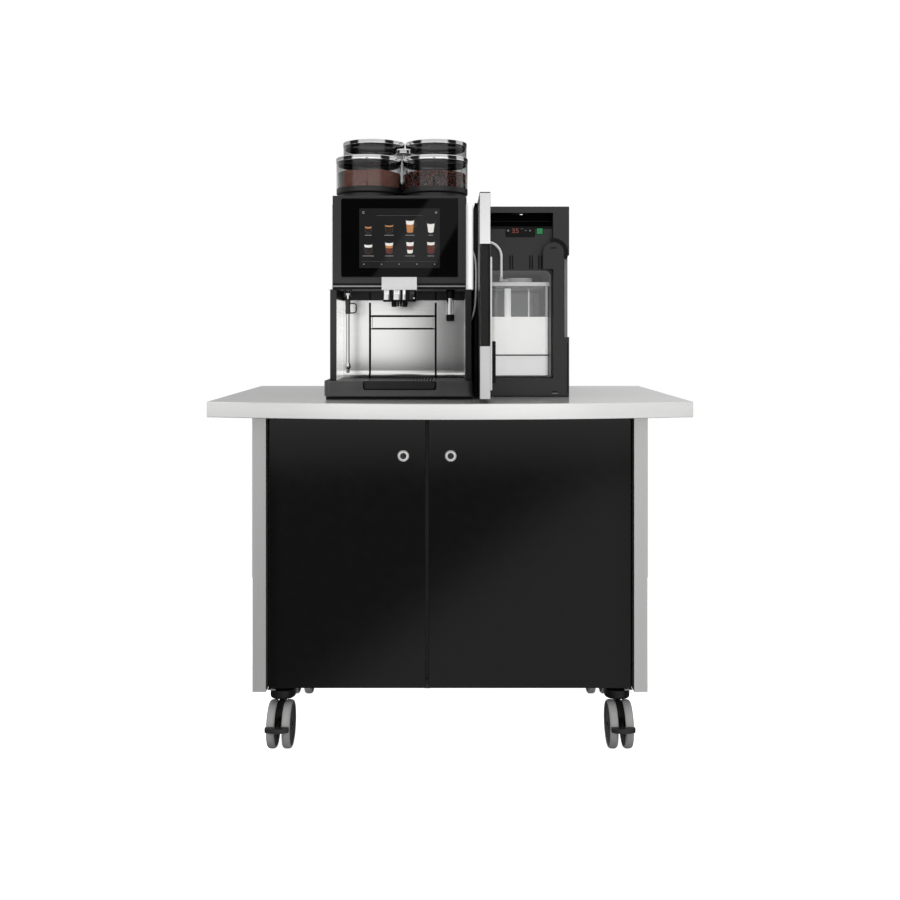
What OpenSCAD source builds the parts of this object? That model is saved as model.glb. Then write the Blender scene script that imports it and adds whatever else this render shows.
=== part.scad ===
// Coffee cart: a steel-topped cabinet on casters with a bean-to-cup coffee machine and a milk cooler.
// Frame: +X to the right, +Y away from the user, +Z up, origin on the floor under the middle of the worktop.

/* [Worktop] */
// Width of the worktop from side to side
worktop_w = 1250; // [1150:10:1400]
// Depth of the worktop along its two ends
worktop_d = 750; // [740:5:800]
// How far the front edge bows out at the middle
worktop_bow = 80; // [50:5:100]
// Thickness of the worktop
worktop_t = 40; // [30:1:50]
// Height of the worktop above the floor
worktop_top = 940; // [900:5:980]
// Thickness of the steel skin that wraps the worktop
skin_t = 1.5; // [1:0.1:3]

/* [Cabinet] */
// Width of the cabinet over its side panels
cabinet_w = 1040; // [1000:5:1100]
// Depth of the cabinet
cabinet_d = 600; // [560:5:640]
// Setback of the cabinet from the front corners of the worktop
cabinet_setback = 60; // [40:1:80]
// Thickness of a folded side panel
side_t = 36; // [30:1:40]
// Sheet thickness of the side panels
side_sheet = 2; // [1.5:0.1:3]
// Thickness of the cabinet floor
floor_t = 20; // [16:1:25]
// Thickness of the back panel
back_t = 18; // [12:1:22]
// Thickness of the divider between the two compartments
divider_t = 18; // [12:1:22]
// Thickness of the two cross rails under the worktop
rail_t = 20; // [15:1:30]
// Height of the cross rails
rail_h = 40; // [30:1:50]
// Diameter of the service port through the back panel
port_d = 60; // [40:1:80]
// Width of one water tank
tank_w = 180; // [160:5:220]
// Depth of one water tank
tank_d = 340; // [300:5:420]
// Height of one water tank without its cap
tank_h = 330; // [300:5:500]

/* [Doors] */
// Recess of the door fronts behind the side panels
door_recess = 27; // [20:1:35]
// Thickness of the doors
door_t = 20; // [16:1:24]
// Gap between a door and the side panel beside it
door_gap = 2.5; // [2:0.5:4]
// Gap between the two doors
door_mid_gap = 9; // [4:0.5:12]
// Place of the gap between the doors, from the middle of the cabinet
door_split = -61; // [-100:1:-40]
// Gap behind the closed doors
door_back_gap = 3; // [2.5:0.5:5]
// Diameter of the door pivot pins
pivot_d = 8; // [6:0.5:9]
// Length of a pivot pin in the door
pivot_l = 12; // [8:1:16]
// Thickness of the pivot plates
pivot_plate_t = 3; // [2:0.5:4]
// Height of a lock below the worktop
lock_drop = 110; // [90:1:140]
// Distance of a lock from the free edge of its door
lock_inset = 58.5; // [50:0.5:70]
// Diameter of the lock's front flange
lock_flange_d = 31; // [26:1:36]
// Diameter of the lock barrel
lock_barrel_d = 19; // [17:0.5:22]
// Diameter of the turning lock plug
lock_plug_d = 12; // [10:0.5:14]
// Length of the lock cam from its axis to its round end
cam_l = 38; // [34:1:44]
// How far the strike flange reaches to each side of the divider
strike_reach = 44; // [36:1:46]

/* [Casters] */
// Height of a caster from the floor to the cabinet
caster_h = 172; // [165:1:190]
// Distance of the caster axes from the sides of the cabinet
caster_side_in = 65; // [50:1:90]
// Distance of the front swivel axes behind the cabinet front
caster_front_in = 115; // [110:1:140]
// Distance of the rear swivel axes from the cabinet back
caster_rear_in = 74; // [60:1:120]
// Clearance between the wheels and the swivel cup above them
wheel_clear = 13.5; // [10:0.5:20]
// Width of one wheel of a pair
wheel_w = 23; // [18:1:26]
// Gap between the two wheels of a pair
wheel_gap = 18; // [16:1:24]
// Horizontal distance from the swivel axis to the axle
trail = 45; // [35:1:50]
// Diameter of the axle
axle_d = 10; // [8:0.5:12]
// Diameter of the swivel cup
cup_d = 62; // [56:1:70]
// Height of the swivel cup
cup_h = 25; // [20:1:28]
// Diameter of the swivel pin
swivel_d = 14; // [12:0.5:18]
// Thickness of the round mounting flange
flange_t = 8; // [5:0.5:10]
// Width of the brake pedal
pedal_w = 63; // [50:1:66]
// Height of the brake pedal plate
pedal_h = 12; // [9:0.5:14]
// Depth of the brake pedal plate
pedal_d = 18; // [14:0.5:22]

/* [Coffee machine] */
// Place of the machine's middle along the worktop
machine_x = -133; // [-160:1:-120]
// Width of the machine over its base
machine_w = 390; // [380:1:400]
// Depth of the machine
machine_d = 598; // [580:1:620]
// Setback of the machine from the front corners of the worktop
machine_setback = 72; // [60:1:90]
// Height of the machine base
base_h = 50; // [44:1:60]
// Height of the black plinth under the base
plinth_h = 9; // [6:0.5:12]
// Clear height between the base and the machine head
bay_h = 242; // [230:1:255]
// Depth from the base front to the steel backsplash
bay_d = 183; // [175:1:200]
// Height of the steel backsplash
splash_h = 218; // [215:1:228]
// Thickness of the backsplash sheet
splash_t = 2; // [1:0.1:3]
// Width of the side columns
column_w = 18; // [14:1:22]
// Inset of the side columns from the sides of the base
column_in = 9; // [6:1:12]
// Width of the machine head
head_w = 348; // [340:1:352]
// Height of the machine head
head_h = 249; // [242:1:260]
// Setback of the head from the base front
head_setback = 15; // [10:1:20]
// Wall thickness of the rear body
body_wall = 4; // [3:0.5:6]
// Width of a side light
light_w = 21; // [18:1:23]
// Width of the display glass
glass_w = 307; // [290:1:315]
// Height of the display glass
glass_h = 208; // [190:1:212]
// Thickness of the display glass
glass_t = 5; // [3:0.5:6]
// Width of the drip tray
tray_w = 186; // [170:1:200]
// Height of the drip tray with its grille
tray_h = 21; // [18:1:26]
// Depth of the drip tray
tray_d = 172; // [160:1:173]
// Wall thickness of the drip tray
tray_wall = 2; // [1.5:0.1:3]
// Thickness of the drip grille
grille_t = 3; // [2:0.1:4]
// Finger gap behind the drip grille
grille_back = 5; // [4:0.5:8]
// Width of the grounds drawer front
drawer_w = 180; // [165:1:190]
// Height of the grounds drawer front
drawer_h = 208; // [200:1:210]
// Depth of the grounds box behind its front
drawer_d = 180; // [150:1:200]
// Height of the grounds box
drawer_box_h = 130; // [110:1:135]
// Gap beside the drawer front
drawer_gap = 5.5; // [4:0.5:7]
// Height of the folding cup shelf
shelf_h = 32; // [28:1:38]
// Height of the cup shelf hinge above the base
shelf_z = 141; // [138:1:150]
// Width of the spout cover plate
spout_w = 93; // [88:1:100]
// Height of the spout cover plate
spout_cover_h = 34; // [30:1:40]
// Depth of the spout
spout_d = 34; // [30:1:38]
// Height of the spout body under the cover
spout_body_h = 31; // [26:1:36]
// Diameter of the coffee nozzles
nozzle_d = 14; // [10:0.5:16]
// Length of the coffee nozzles
nozzle_l = 13; // [10:1:18]
// Diameter of the two spout guide rods
guide_d = 10; // [8:0.5:12]
// Length of the steam wand under its pivot
wand_l = 213; // [190:1:215]
// Diameter of the steam wand tube
wand_d = 10; // [8:0.5:12]
// Length of the hot water spout under the head
water_l = 84; // [70:1:95]

/* [Hoppers] */
// Outer diameter of a hopper
hopper_d = 180; // [170:1:181]
// Distance between hopper axes
hopper_pitch = 184; // [184:0.5:188]
// Distance of the front hopper axes behind the base front
hopper_in = 143; // [138:1:150]
// Wall thickness of a hopper
hopper_wall = 3; // [2:0.1:4]
// Height of the dark hopper foot
foot_h = 24; // [20:1:30]
// Height of a front hopper with its lid
front_hopper_h = 117; // [105:1:130]
// Height of a rear hopper with its lid
rear_hopper_h = 194; // [180:1:205]
// Diameter of a hopper lid
lid_d = 182; // [182:0.5:183.5]
// Thickness of a hopper lid
lid_t = 12; // [9:0.5:14]
// Depth of beans or powder in the hoppers
fill_h = 52; // [30:1:56]
// Diameter of the hopper lock knob
knob_d = 47; // [40:1:60]
// Height of the hopper lock knob
knob_h = 16; // [12:1:20]
// Height of the knob's underside above the machine deck
knob_z = 145; // [140:1:160]
// Diameter of the hopper lock post
post_d = 8; // [6:0.5:10]

/* [Milk cooler] */
// Gap between the coffee machine and the cooler
cooler_gap = 4; // [3:0.5:8]
// Width of the cooler
cooler_w = 261; // [255:1:275]
// Depth of the cooler
cooler_d = 480; // [450:1:500]
// Height of the cooler
cooler_h = 525; // [515:1:540]
// Setback of the cooler from the front corners of the worktop
cooler_setback = 190; // [190:1:210]
// Thickness of the left wall of the housing
cooler_left_wall = 20; // [16:1:24]
// Thickness of the right wall of the housing
cooler_right_wall = 43; // [38:1:48]
// Height of the cavity floor above the worktop
cavity_z = 51; // [40:1:60]
// Height of the inner moulding
liner_h = 421; // [415:1:430]
// Depth of the cavity
cavity_d = 285; // [275:1:300]
// Setback of the inner moulding from the housing front
liner_setback = 18; // [17:0.5:22]
// Height of the niche for the milk container
niche_h = 294; // [286:1:300]
// Wall thickness of the inner moulding
liner_wall = 4; // [3:0.5:6]
// Corner radius of the niche at its top
niche_r = 18; // [10:1:24]
// Thickness of the cooler door
cooler_door_t = 27; // [22:1:29]
// Width of the cooler door
cooler_door_w = 251; // [240:1:252]
// Thickness of the door gasket
gasket_t = 4.5; // [3:0.5:5]
// Depth of the grip recess in the door edge
grip_d = 12; // [8:1:16]
// Height of the grip recess in the door edge
grip_h = 255; // [200:5:300]
// Width of the milk container
milk_w = 164; // [150:1:165]
// Depth of the milk container
milk_d = 220; // [200:1:235]
// Height of the milk container without its lid
milk_h = 251; // [240:1:255]
// Wall thickness of the milk container
milk_wall = 2.5; // [2:0.1:4]
// Thickness of the milk container's lid
milk_lid_t = 11; // [8:0.5:13]
// Diameter of the round cap on the lid
milk_cap_d = 75; // [60:1:80]
// Diameter of the suction pipe
pipe_d = 18; // [12:0.5:20]
// Width and height of the power rocker
rocker_size = 16; // [14:0.5:18]

/* [Fits] */
// Radial running clearance of pins, shafts and sliding rods
run_clear = 0.05; // [0.02:0.01:0.1]
// Clearance of loosely fitted and sliding pieces
fit_clear = 0.3; // [0.2:0.1:0.5]

/* [Hidden] */
$fn = 64;
eps = 1;

// Worktop and cabinet planes
back_y = (worktop_d + worktop_bow) / 2;
front_mid_y = -back_y;
front_y = back_y - worktop_d;
bow_r = (pow(worktop_w / 2, 2) + pow(worktop_bow, 2)) / (2 * worktop_bow);
worktop_bottom = worktop_top - worktop_t;
cabinet_front = front_y + cabinet_setback;
cabinet_back = cabinet_front + cabinet_d;
inner_x = cabinet_w / 2 - side_t;
floor_top = caster_h + floor_t;
door_front = cabinet_front + door_recess;
door_back = door_front + door_t;
floor_front = door_back + door_back_gap;
rail_bottom = worktop_bottom - rail_h;
back_front = cabinet_back - back_t;
port_place = [300, floor_top + 100];
tank_gap = 20;
tank_in = 40;
neck_d = 60;
neck_h = 30;

// Doors, pivots and locks
pivot_inset = 8;
pivot_setback = 5;
pivot_x = inner_x - door_gap - pivot_inset;
pivot_y = door_front + pivot_setback;
plate_half = pivot_inset + door_gap - fit_clear;
plate_front = 10;
plate_grip = 25;
door_bottom = caster_h + 1;
door_top = worktop_bottom - pivot_plate_t - 1;
lock_z = worktop_bottom - lock_drop;
lock_flange_t = 4;
lock_nut_d = 26;
lock_nut_t = 4;
strike_t = 3;
cam_t = 3;
cam_w = 16;
cam_front = floor_front + strike_t + 2;
key_slot = [2, 6, 7];

// Casters, measured from the swivel axis
swivel_gap = 0.5;
caster_x = cabinet_w / 2 - caster_side_in;
caster_front_y = cabinet_front + caster_front_in;
caster_rear_y = cabinet_back - caster_rear_in;
cup_top = caster_h - flange_t - swivel_gap;
cup_bottom = cup_top - cup_h;
wheel_d = cup_bottom - wheel_clear;
axle_z = wheel_d / 2;
web_t = wheel_gap - 4;
wheel_out = wheel_gap / 2 + wheel_w;
wheel_shoulder = 4;
brake_y = -trail - wheel_d / 2 + 32;
brake_z = axle_z + 12;
brake_pin_d = 5;
brake_arm_t = 6.4;
brake_eye_r = 7;
pedal_back = -trail - wheel_d / 2 - 7;

// Coffee machine planes
base_front = front_y + machine_setback;
base_top = worktop_top + base_h;
machine_back = base_front + machine_d;
head_bottom = base_top + bay_h;
deck = head_bottom + head_h;
head_front = base_front + head_setback;
splash_y = base_front + bay_d;
body_front = splash_y + splash_t;
body_half = machine_w / 2 - 5;
column_out = machine_w / 2 - column_in;
column_inner = column_out - column_w;
column_front = base_front + 18;
base_r = 18;
plinth_in = 4;
light_d = 40;
light_in = 8;
light_top_gap = 21;
glass_top_gap = 8;
tray_seat = 0.2;
lip_t = 4;
drawer_front_t = 8;
drawer_wall = 3;
shelf_t = 4;
shelf_ear = 4;
shelf_pin_d = 3;
shelf_pin_l = 3;
shelf_y = splash_y + shelf_t / 2;
shelf_axis_z = base_top + shelf_z;
spout_gap = 3;
spout_back = head_front - spout_gap;
spout_front = spout_back - spout_d;
spout_z = head_bottom - spout_gap;
guide_y = head_front + 25;
guide_x = 14;
guide_l = 150;
guide_bore_l = 170;
arm_low = 23;
arm_high = 8;
wand_off = 142;
wand_x = machine_x - wand_off;
wand_y = head_front + 38;
wand_z = head_bottom - 10;
wand_pin_d = 8;
wand_eye_w = 11;
wand_ear_t = 5;
wand_ear = 18;
grip_r = 7;
grip_top = 14;
grip_bottom = 55;
loop_reach = 21;
loop_top = 26;
loop_wire = 3;
wand_tip_d = 17;
water_off = 134;
water_x = machine_x + water_off;
boiler_d = 140;
boiler_h = 280;
boiler_off = 90;
brewer_off = 10;
brewer_size = [140, 140, 330];
grinder_d = 100;
grinder_h = 120;
works_gap = 25;

// Hoppers
front_hopper_y = base_front + hopper_in;
rear_hopper_y = front_hopper_y + hopper_pitch;
lock_y = front_hopper_y + hopper_pitch / 2;
hopper_left = machine_x - hopper_pitch / 2;
hopper_right = machine_x + hopper_pitch / 2;
hopper_bore_r = hopper_d / 2 - hopper_wall;
lid_plug_h = 8;

// Milk cooler planes
cooler_left = machine_x + machine_w / 2 + cooler_gap;
cooler_right = cooler_left + cooler_w;
cooler_front = front_y + cooler_setback;
cooler_back = cooler_front + cooler_d;
cooler_top = worktop_top + cooler_h;
cavity_left = cooler_left + cooler_left_wall;
cavity_right = cooler_right - cooler_right_wall;
cavity_bottom = worktop_top + cavity_z;
liner_front = cooler_front + liner_setback;
liner_top = cavity_bottom + liner_h;
niche_left = cavity_left + liner_wall;
niche_right = cavity_right - liner_wall;
niche_bottom = cavity_bottom + liner_wall;
niche_back = cooler_front + cavity_d - 20;
top_recess_h = 35;
top_recess_d = 40;
rear_wall = 30;
rear_depth = 130;
side_grip = [13, 40, 225];
side_grip_z = worktop_top + 165;
hinge_in = 14;
hinge_out = 26;
hinge_x = cooler_left + hinge_in;
hinge_y = cooler_front - hinge_out;
hinge_pin_d = 8;
hinge_pin_l = 12;
ear_t = 5;
ear_half = 13;
ear_z = worktop_top + 5;
leaf_out = 6;
leaf_left = hinge_x - leaf_out;
leaf_right = leaf_left + cooler_door_t;
leaf_back = hinge_y + hinge_in;
leaf_front = leaf_back - cooler_door_w;
leaf_bottom = ear_z + ear_t + 1;
leaf_top = cooler_top - 1;
leaf_grip_z = worktop_top + 144;
grip_edge = 3;
gasket_w = 12;
gasket_margin = 18;
milk_left = leaf_right + gasket_t + 6.5;
milk_front = liner_front + 5;
milk_bottom = niche_bottom + fit_clear;
milk_top = milk_bottom + milk_h;
milk_lid_top = milk_top + milk_lid_t;
milk_rim = 2.5;
milk_r = 12;
milk_cap_h = 12;
milk_cap = [milk_left + milk_w / 2, milk_front + milk_cap_d / 2 + 4];
pipe_place = [milk_left + 50, milk_front + 27];
spigot_d = 8;
spigot_y = milk_front + 22;
spigot_z = milk_lid_top + 5.5;
elbow_x = milk_left + 30;
elbow_y = liner_front - 7;
elbow_top = milk_lid_top + milk_cap_h + 3;
rocker_x = cavity_right - 35;
rocker_z = liner_top - 13;
rocker_t = 11;
rocker_tilt = 6;
rocker_proud = 2;
rocker_room = 1.4;
rocker_pin_d = 3;
rocker_pin_l = 3;
rocker_y = liner_front + 5;
link_d = 10;
link_y = 40;
link_up = 260;
link_place = [link_y, worktop_top + link_up];

// Milk hose: hand-chosen points from the wall gland to the spigot on the lid
hose_d = 7;
hose_gland_d = 12;
hose_gland_l = 6;
hose_gland_up = 428;
hose_sides = 10;
hose_start = [cavity_left + hose_gland_l, liner_front - 7, worktop_top + hose_gland_up];
hose_end = [elbow_x, elbow_y, elbow_top];
hose_points = [
  hose_start,
  [102, -134, 1368],
  [117, -134, 1365],
  [130, -134, 1356],
  [139, -134, 1343],
  [142, -134, 1328],
  [142, -134, 1310],
  [142, -134, 1292],
  hose_end];

// Basic shapes placed by their own coordinates
module box(low, high) {
  translate(low) cube(high - low);
}

module rod_x(x0, x1, y, z, d) {
  translate([x0, y, z]) rotate([0, 90, 0]) cylinder(h = x1 - x0, d = d);
}

module rod_y(x, y0, y1, z, d) {
  translate([x, y0, z]) rotate([-90, 0, 0]) cylinder(h = y1 - y0, d = d);
}

module rod_z(x, y, z0, z1, d) {
  translate([x, y, z0]) cylinder(h = z1 - z0, d = d);
}

// Rectangle with round corners, from one corner to the other
module round_rect(low, high, r) {
  translate(low + [r, 0]) square([high[0] - low[0] - 2 * r, high[1] - low[1]]);
  translate(low + [0, r]) square([high[0] - low[0], high[1] - low[1] - 2 * r]);
  for (x = [low[0] + r, high[0] - r], y = [low[1] + r, high[1] - r]) {
    translate([x, y]) circle(r = r);
  }
}

// Stands a drawing in the X and Z plane up and gives it a depth from y0 to y1
module upright(y0, y1) {
  translate([0, y1, 0]) rotate([90, 0, 0]) linear_extrude(y1 - y0) children();
}

// Worktop
module worktop_outline(inset) {
  intersection() {
    translate([0, front_mid_y + bow_r]) circle(r = bow_r - inset, $fn = 256);
    translate([-worktop_w / 2 + inset, front_mid_y])
      square([worktop_w - 2 * inset, worktop_d + worktop_bow - inset]);
  }
}

module worktop_skin() {
  color("silver") difference() {
    translate([0, 0, worktop_bottom]) linear_extrude(worktop_t) worktop_outline(0);
    translate([0, 0, worktop_bottom - eps]) linear_extrude(worktop_t - skin_t + eps) worktop_outline(skin_t);
  }
}

module worktop_core() {
  color("burlywood") translate([0, 0, worktop_bottom])
    linear_extrude(worktop_t - skin_t) worktop_outline(skin_t + fit_clear);
}

// Cabinet
module side_panels() {
  color("silver") for (side = [-1, 1]) {
    translate([side * (cabinet_w - side_t) / 2, 0, 0]) difference() {
      box([-side_t / 2, cabinet_front, caster_h], [side_t / 2, cabinet_back, worktop_bottom]);
      box([-side_t / 2 + side_sheet, cabinet_front + side_sheet, caster_h - eps],
        [side_t / 2 - side_sheet, cabinet_back - side_sheet, worktop_bottom - side_sheet]);
    }
  }
}

module floor_panel() {
  color("dimgray") box([-inner_x, floor_front, caster_h], [inner_x, cabinet_back, floor_top]);
}

module back_panel() {
  color("dimgray") difference() {
    box([-inner_x, back_front, floor_top], [inner_x, cabinet_back, worktop_bottom]);
    rod_y(port_place[0], back_front - eps, cabinet_back + eps, port_place[1], port_d);
  }
}

module top_rails() {
  color("silver") {
    box([-inner_x, floor_front, rail_bottom], [inner_x, floor_front + rail_t, worktop_bottom]);
    box([-inner_x, back_front - rail_t, rail_bottom], [inner_x, back_front, worktop_bottom]);
  }
}

module divider() {
  color("dimgray") {
    box([door_split - divider_t / 2, floor_front, floor_top],
      [door_split + divider_t / 2, back_front, rail_bottom]);
    box([door_split - strike_reach, floor_front, floor_top],
      [door_split + strike_reach, floor_front + strike_t, rail_bottom]);
  }
}

module water_tanks() {
  color("whitesmoke") for (i = [1, 2]) {
    x = inner_x - tank_in - i * tank_w - (i - 1) * tank_gap;
    y = back_front - rail_t - tank_d;
    translate([0, 0, floor_top]) linear_extrude(tank_h)
      round_rect([x, y], [x + tank_w, y + tank_d], 25);
    rod_z(x + tank_w / 2, y + neck_d, floor_top + tank_h, floor_top + tank_h + neck_h, neck_d);
  }
}

module door_pivots() {
  color("gray") for (side = [-1, 1]) {
    x = side * pivot_x;
    box([x - plate_half, pivot_y - plate_front, caster_h - pivot_plate_t],
      [x + plate_half, floor_front + plate_grip, caster_h]);
    rod_z(x, pivot_y, caster_h - pivot_plate_t, door_bottom + pivot_l, pivot_d);
    box([x - plate_half, pivot_y - plate_front, worktop_bottom - pivot_plate_t],
      [x + plate_half, floor_front - fit_clear, worktop_bottom]);
    rod_z(x, pivot_y, door_top - pivot_l, worktop_bottom, pivot_d);
  }
}

// Doors and their cam locks
lock_left_x = door_split - door_mid_gap / 2 - lock_inset;
lock_right_x = door_split + door_mid_gap / 2 + lock_inset;

module door(x0, x1, hinge_x, lock_x) {
  color([0.1, 0.1, 0.1]) difference() {
    box([x0, door_front, door_bottom], [x1, door_back, door_top]);
    rod_z(hinge_x, pivot_y, door_bottom - eps, door_bottom + pivot_l + eps, pivot_d + 2 * run_clear);
    rod_z(hinge_x, pivot_y, door_top - pivot_l - eps, door_top + eps, pivot_d + 2 * run_clear);
    rod_y(lock_x, door_front - eps, door_back + eps, lock_z, lock_barrel_d + 2 * run_clear);
  }
}

module lock_body(x) {
  color("lightgray") difference() {
    union() {
      rod_y(x, door_front - lock_flange_t, door_front, lock_z, lock_flange_d);
      rod_y(x, door_front - eps, door_back + lock_nut_t, lock_z, lock_barrel_d);
      rod_y(x, door_back, door_back + lock_nut_t, lock_z, lock_nut_d);
    }
    rod_y(x, door_front - lock_flange_t - eps, door_back + lock_nut_t + eps, lock_z,
      lock_plug_d + 2 * run_clear);
  }
}

module lock_plug(x) {
  plug_front = door_front - lock_flange_t + 1;
  color("darkgray") difference() {
    union() {
      rod_y(x, plug_front, cam_front + cam_t, lock_z, lock_plug_d);
      rod_y(x, cam_front, cam_front + cam_t, lock_z, cam_w);
      box([x - cam_w / 2, cam_front, lock_z - cam_l + cam_w / 2],
        [x + cam_w / 2, cam_front + cam_t, lock_z]);
      rod_y(x, cam_front, cam_front + cam_t, lock_z - cam_l + cam_w / 2, cam_w);
    }
    translate([x - key_slot[0] / 2, plug_front - eps, lock_z - key_slot[2] / 2])
      cube([key_slot[0], key_slot[1] + eps, key_slot[2]]);
  }
}

module door_left() {
  door(-inner_x + door_gap, door_split - door_mid_gap / 2, -pivot_x, lock_left_x);
}

module door_right() {
  door(door_split + door_mid_gap / 2, inner_x - door_gap, pivot_x, lock_right_x);
}

// Casters, each drawn about its own swivel axis
module caster_mounts() {
  color("dimgray") for (x = [-caster_x, caster_x], y = [caster_front_y, caster_rear_y]) {
    rod_z(x, y, caster_h - flange_t, caster_h, cup_d);
    rod_z(x, y, cup_bottom + 2, caster_h, swivel_d);
  }
}

module fork_web() {
  rotate([90, 0, 90]) linear_extrude(web_t, center = true) polygon([
    [22, cup_bottom + 1],
    [14, cup_bottom - 20],
    [-trail + axle_d + 7, axle_z],
    [-trail + 8, axle_z - axle_d - 5],
    [-trail - 10, axle_z - axle_d - 4],
    [brake_y - 2, brake_z - 8],
    [brake_y - 8, brake_z - 3],
    [brake_y - 8, brake_z + 5],
    [brake_y, brake_z + 9],
    [-trail - 5, cup_bottom - 30],
    [-24, cup_bottom + 1]]);
}

module fork(x, y) {
  slot = brake_arm_t / 2 + fit_clear;
  color([0.12, 0.12, 0.12]) translate([x, y, 0]) {
    difference() {
      union() {
        rod_z(0, 0, cup_bottom, cup_top, cup_d);
        fork_web();
      }
      rod_z(0, 0, cup_bottom - 40, cup_top + eps, swivel_d + 2 * run_clear);
      box([-slot, brake_y - 20, brake_z - 30], [slot, brake_y + brake_eye_r + 2, brake_z + 30]);
      rod_x(-web_t, web_t, brake_y, brake_z, brake_pin_d + 2 * run_clear);
    }
    rod_x(-wheel_out, wheel_out, -trail, axle_z, axle_d);
  }
}

module wheel_pair(x, y) {
  bore_r = axle_d / 2 + run_clear;
  shoulder_r = wheel_d / 2 - wheel_shoulder;
  color("lightgray") translate([x, y - trail, axle_z]) for (side = [0, 1]) {
    mirror([side, 0, 0]) translate([wheel_gap / 2, 0, 0]) rotate([0, 90, 0]) rotate_extrude() {
      translate([bore_r, 0]) square([shoulder_r - bore_r, wheel_w]);
      translate([bore_r, wheel_shoulder]) square([wheel_d / 2 - bore_r, wheel_w - 2 * wheel_shoulder]);
      translate([shoulder_r, wheel_shoulder]) circle(r = wheel_shoulder);
      translate([shoulder_r, wheel_w - wheel_shoulder]) circle(r = wheel_shoulder);
    }
  }
}

module pedal(x, y) {
  plate_low = brake_z - pedal_h / 2;
  color([0.08, 0.08, 0.08]) translate([x, y, 0]) {
    rod_x(-web_t / 2, web_t / 2, brake_y, brake_z, brake_pin_d);
    rod_x(-brake_arm_t / 2, brake_arm_t / 2, brake_y, brake_z, 2 * brake_eye_r);
    box([-brake_arm_t / 2, pedal_back - eps, brake_z - 5], [brake_arm_t / 2, brake_y, brake_z + 5]);
    translate([0, 0, plate_low]) linear_extrude(pedal_h) intersection() {
      translate([-pedal_w / 2, pedal_back - pedal_d]) square([pedal_w, pedal_d]);
      translate([0, pedal_back - pedal_d + pedal_w]) circle(r = pedal_w);
    }
  }
}

// Coffee machine body
module machine_base() {
  half = machine_w / 2;
  tray_room = tray_w / 2 + fit_clear;
  color([0.13, 0.13, 0.13]) difference() {
    union() {
      translate([0, 0, worktop_top + plinth_h]) linear_extrude(base_h - plinth_h)
        round_rect([machine_x - half, base_front], [machine_x + half, machine_back], base_r);
      translate([0, 0, worktop_top]) linear_extrude(base_h)
        round_rect([machine_x - half + plinth_in, base_front + plinth_in],
          [machine_x + half - plinth_in, machine_back - plinth_in], base_r - plinth_in);
    }
    box([machine_x - tray_room, base_front - eps, base_top - tray_h],
      [machine_x + tray_room, base_front + tray_d + fit_clear, base_top + eps]);
  }
}

module drawer_opening(y0, y1) {
  half = drawer_w / 2 + drawer_gap;
  box([machine_x - half, y0, base_top - eps], [machine_x + half, y1, base_top + drawer_h + 3]);
}

module machine_body() {
  inner = body_half - body_wall;
  color([0.12, 0.12, 0.12]) {
    difference() {
      box([machine_x - body_half, body_front, base_top], [machine_x + body_half, machine_back, deck]);
      box([machine_x - inner, body_front + body_wall, base_top - eps],
        [machine_x + inner, machine_back - body_wall, deck - body_wall]);
      drawer_opening(body_front - eps, body_front + body_wall + eps);
      rod_z(machine_x, lock_y, deck - body_wall - eps, deck + eps, post_d + 2 * run_clear);
    }
    for (side = [-1, 1]) {
      translate([machine_x + side * (column_out - column_w / 2), 0, 0])
        box([-column_w / 2, column_front, base_top], [column_w / 2, body_front, head_bottom]);
    }
  }
}

module backsplash() {
  color("silver") difference() {
    box([machine_x - column_inner, splash_y, base_top],
      [machine_x + column_inner, body_front, base_top + splash_h]);
    drawer_opening(splash_y - eps, body_front + eps);
  }
}

module display_housing() {
  ear_x = wand_eye_w / 2 + fit_clear;
  pocket = glass_w / 2 + fit_clear;
  color([0.1, 0.1, 0.1]) {
    difference() {
      box([machine_x - head_w / 2, head_front, head_bottom], [machine_x + head_w / 2, body_front, deck]);
      box([machine_x - pocket, head_front - eps, deck - glass_top_gap - glass_h - fit_clear],
        [machine_x + pocket, head_front + glass_t, deck - glass_top_gap + fit_clear]);
      for (side = [-1, 1]) {
        rod_z(machine_x + side * guide_x, guide_y, head_bottom - eps, head_bottom + guide_bore_l,
          guide_d + 2 * run_clear);
      }
    }
    for (side = [-1, 1]) {
      translate([wand_x + side * (ear_x + wand_ear_t / 2), wand_y, wand_z]) difference() {
        box([-wand_ear_t / 2, -wand_ear / 2, -8], [wand_ear_t / 2, wand_ear / 2, head_bottom - wand_z]);
        rod_x(-wand_ear_t, wand_ear_t, 0, 0, wand_pin_d + 2 * run_clear);
      }
    }
  }
}

module display_glass() {
  color("black") box([machine_x - glass_w / 2, head_front, deck - glass_top_gap - glass_h],
    [machine_x + glass_w / 2, head_front + glass_t, deck - glass_top_gap]);
}

module side_lights() {
  color("white") for (side = [-1, 1]) {
    translate([machine_x + side * (head_w / 2 + light_w / 2), 0, 0])
      box([-light_w / 2, head_front + light_in, head_bottom],
        [light_w / 2, head_front + light_in + light_d, deck - light_top_gap]);
  }
}

module hot_water_spout() {
  collar = 23;
  tip = 18;
  color("silver") difference() {
    union() {
      rod_z(water_x, wand_y, head_bottom - collar, head_bottom, 24);
      rod_z(water_x, wand_y, head_bottom - water_l, head_bottom, 17);
      rod_z(water_x, wand_y, head_bottom - water_l, head_bottom - water_l + tip, 23);
    }
    rod_z(water_x, wand_y, head_bottom - water_l - eps, head_bottom - collar, 12);
  }
}

// Hoppers and what they hold
module at_hoppers(wanted) {
  places = [[hopper_left, front_hopper_y, front_hopper_h], [hopper_right, front_hopper_y, front_hopper_h],
    [hopper_left, rear_hopper_y, rear_hopper_h], [hopper_right, rear_hopper_y, rear_hopper_h]];
  for (i = wanted) {
    $hopper_h = places[i][2];
    translate([places[i][0], places[i][1], deck]) children();
  }
}

module hopper_feet() {
  color([0.1, 0.1, 0.1]) at_hoppers([0:3]) cylinder(h = foot_h, d = hopper_d);
}

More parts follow.
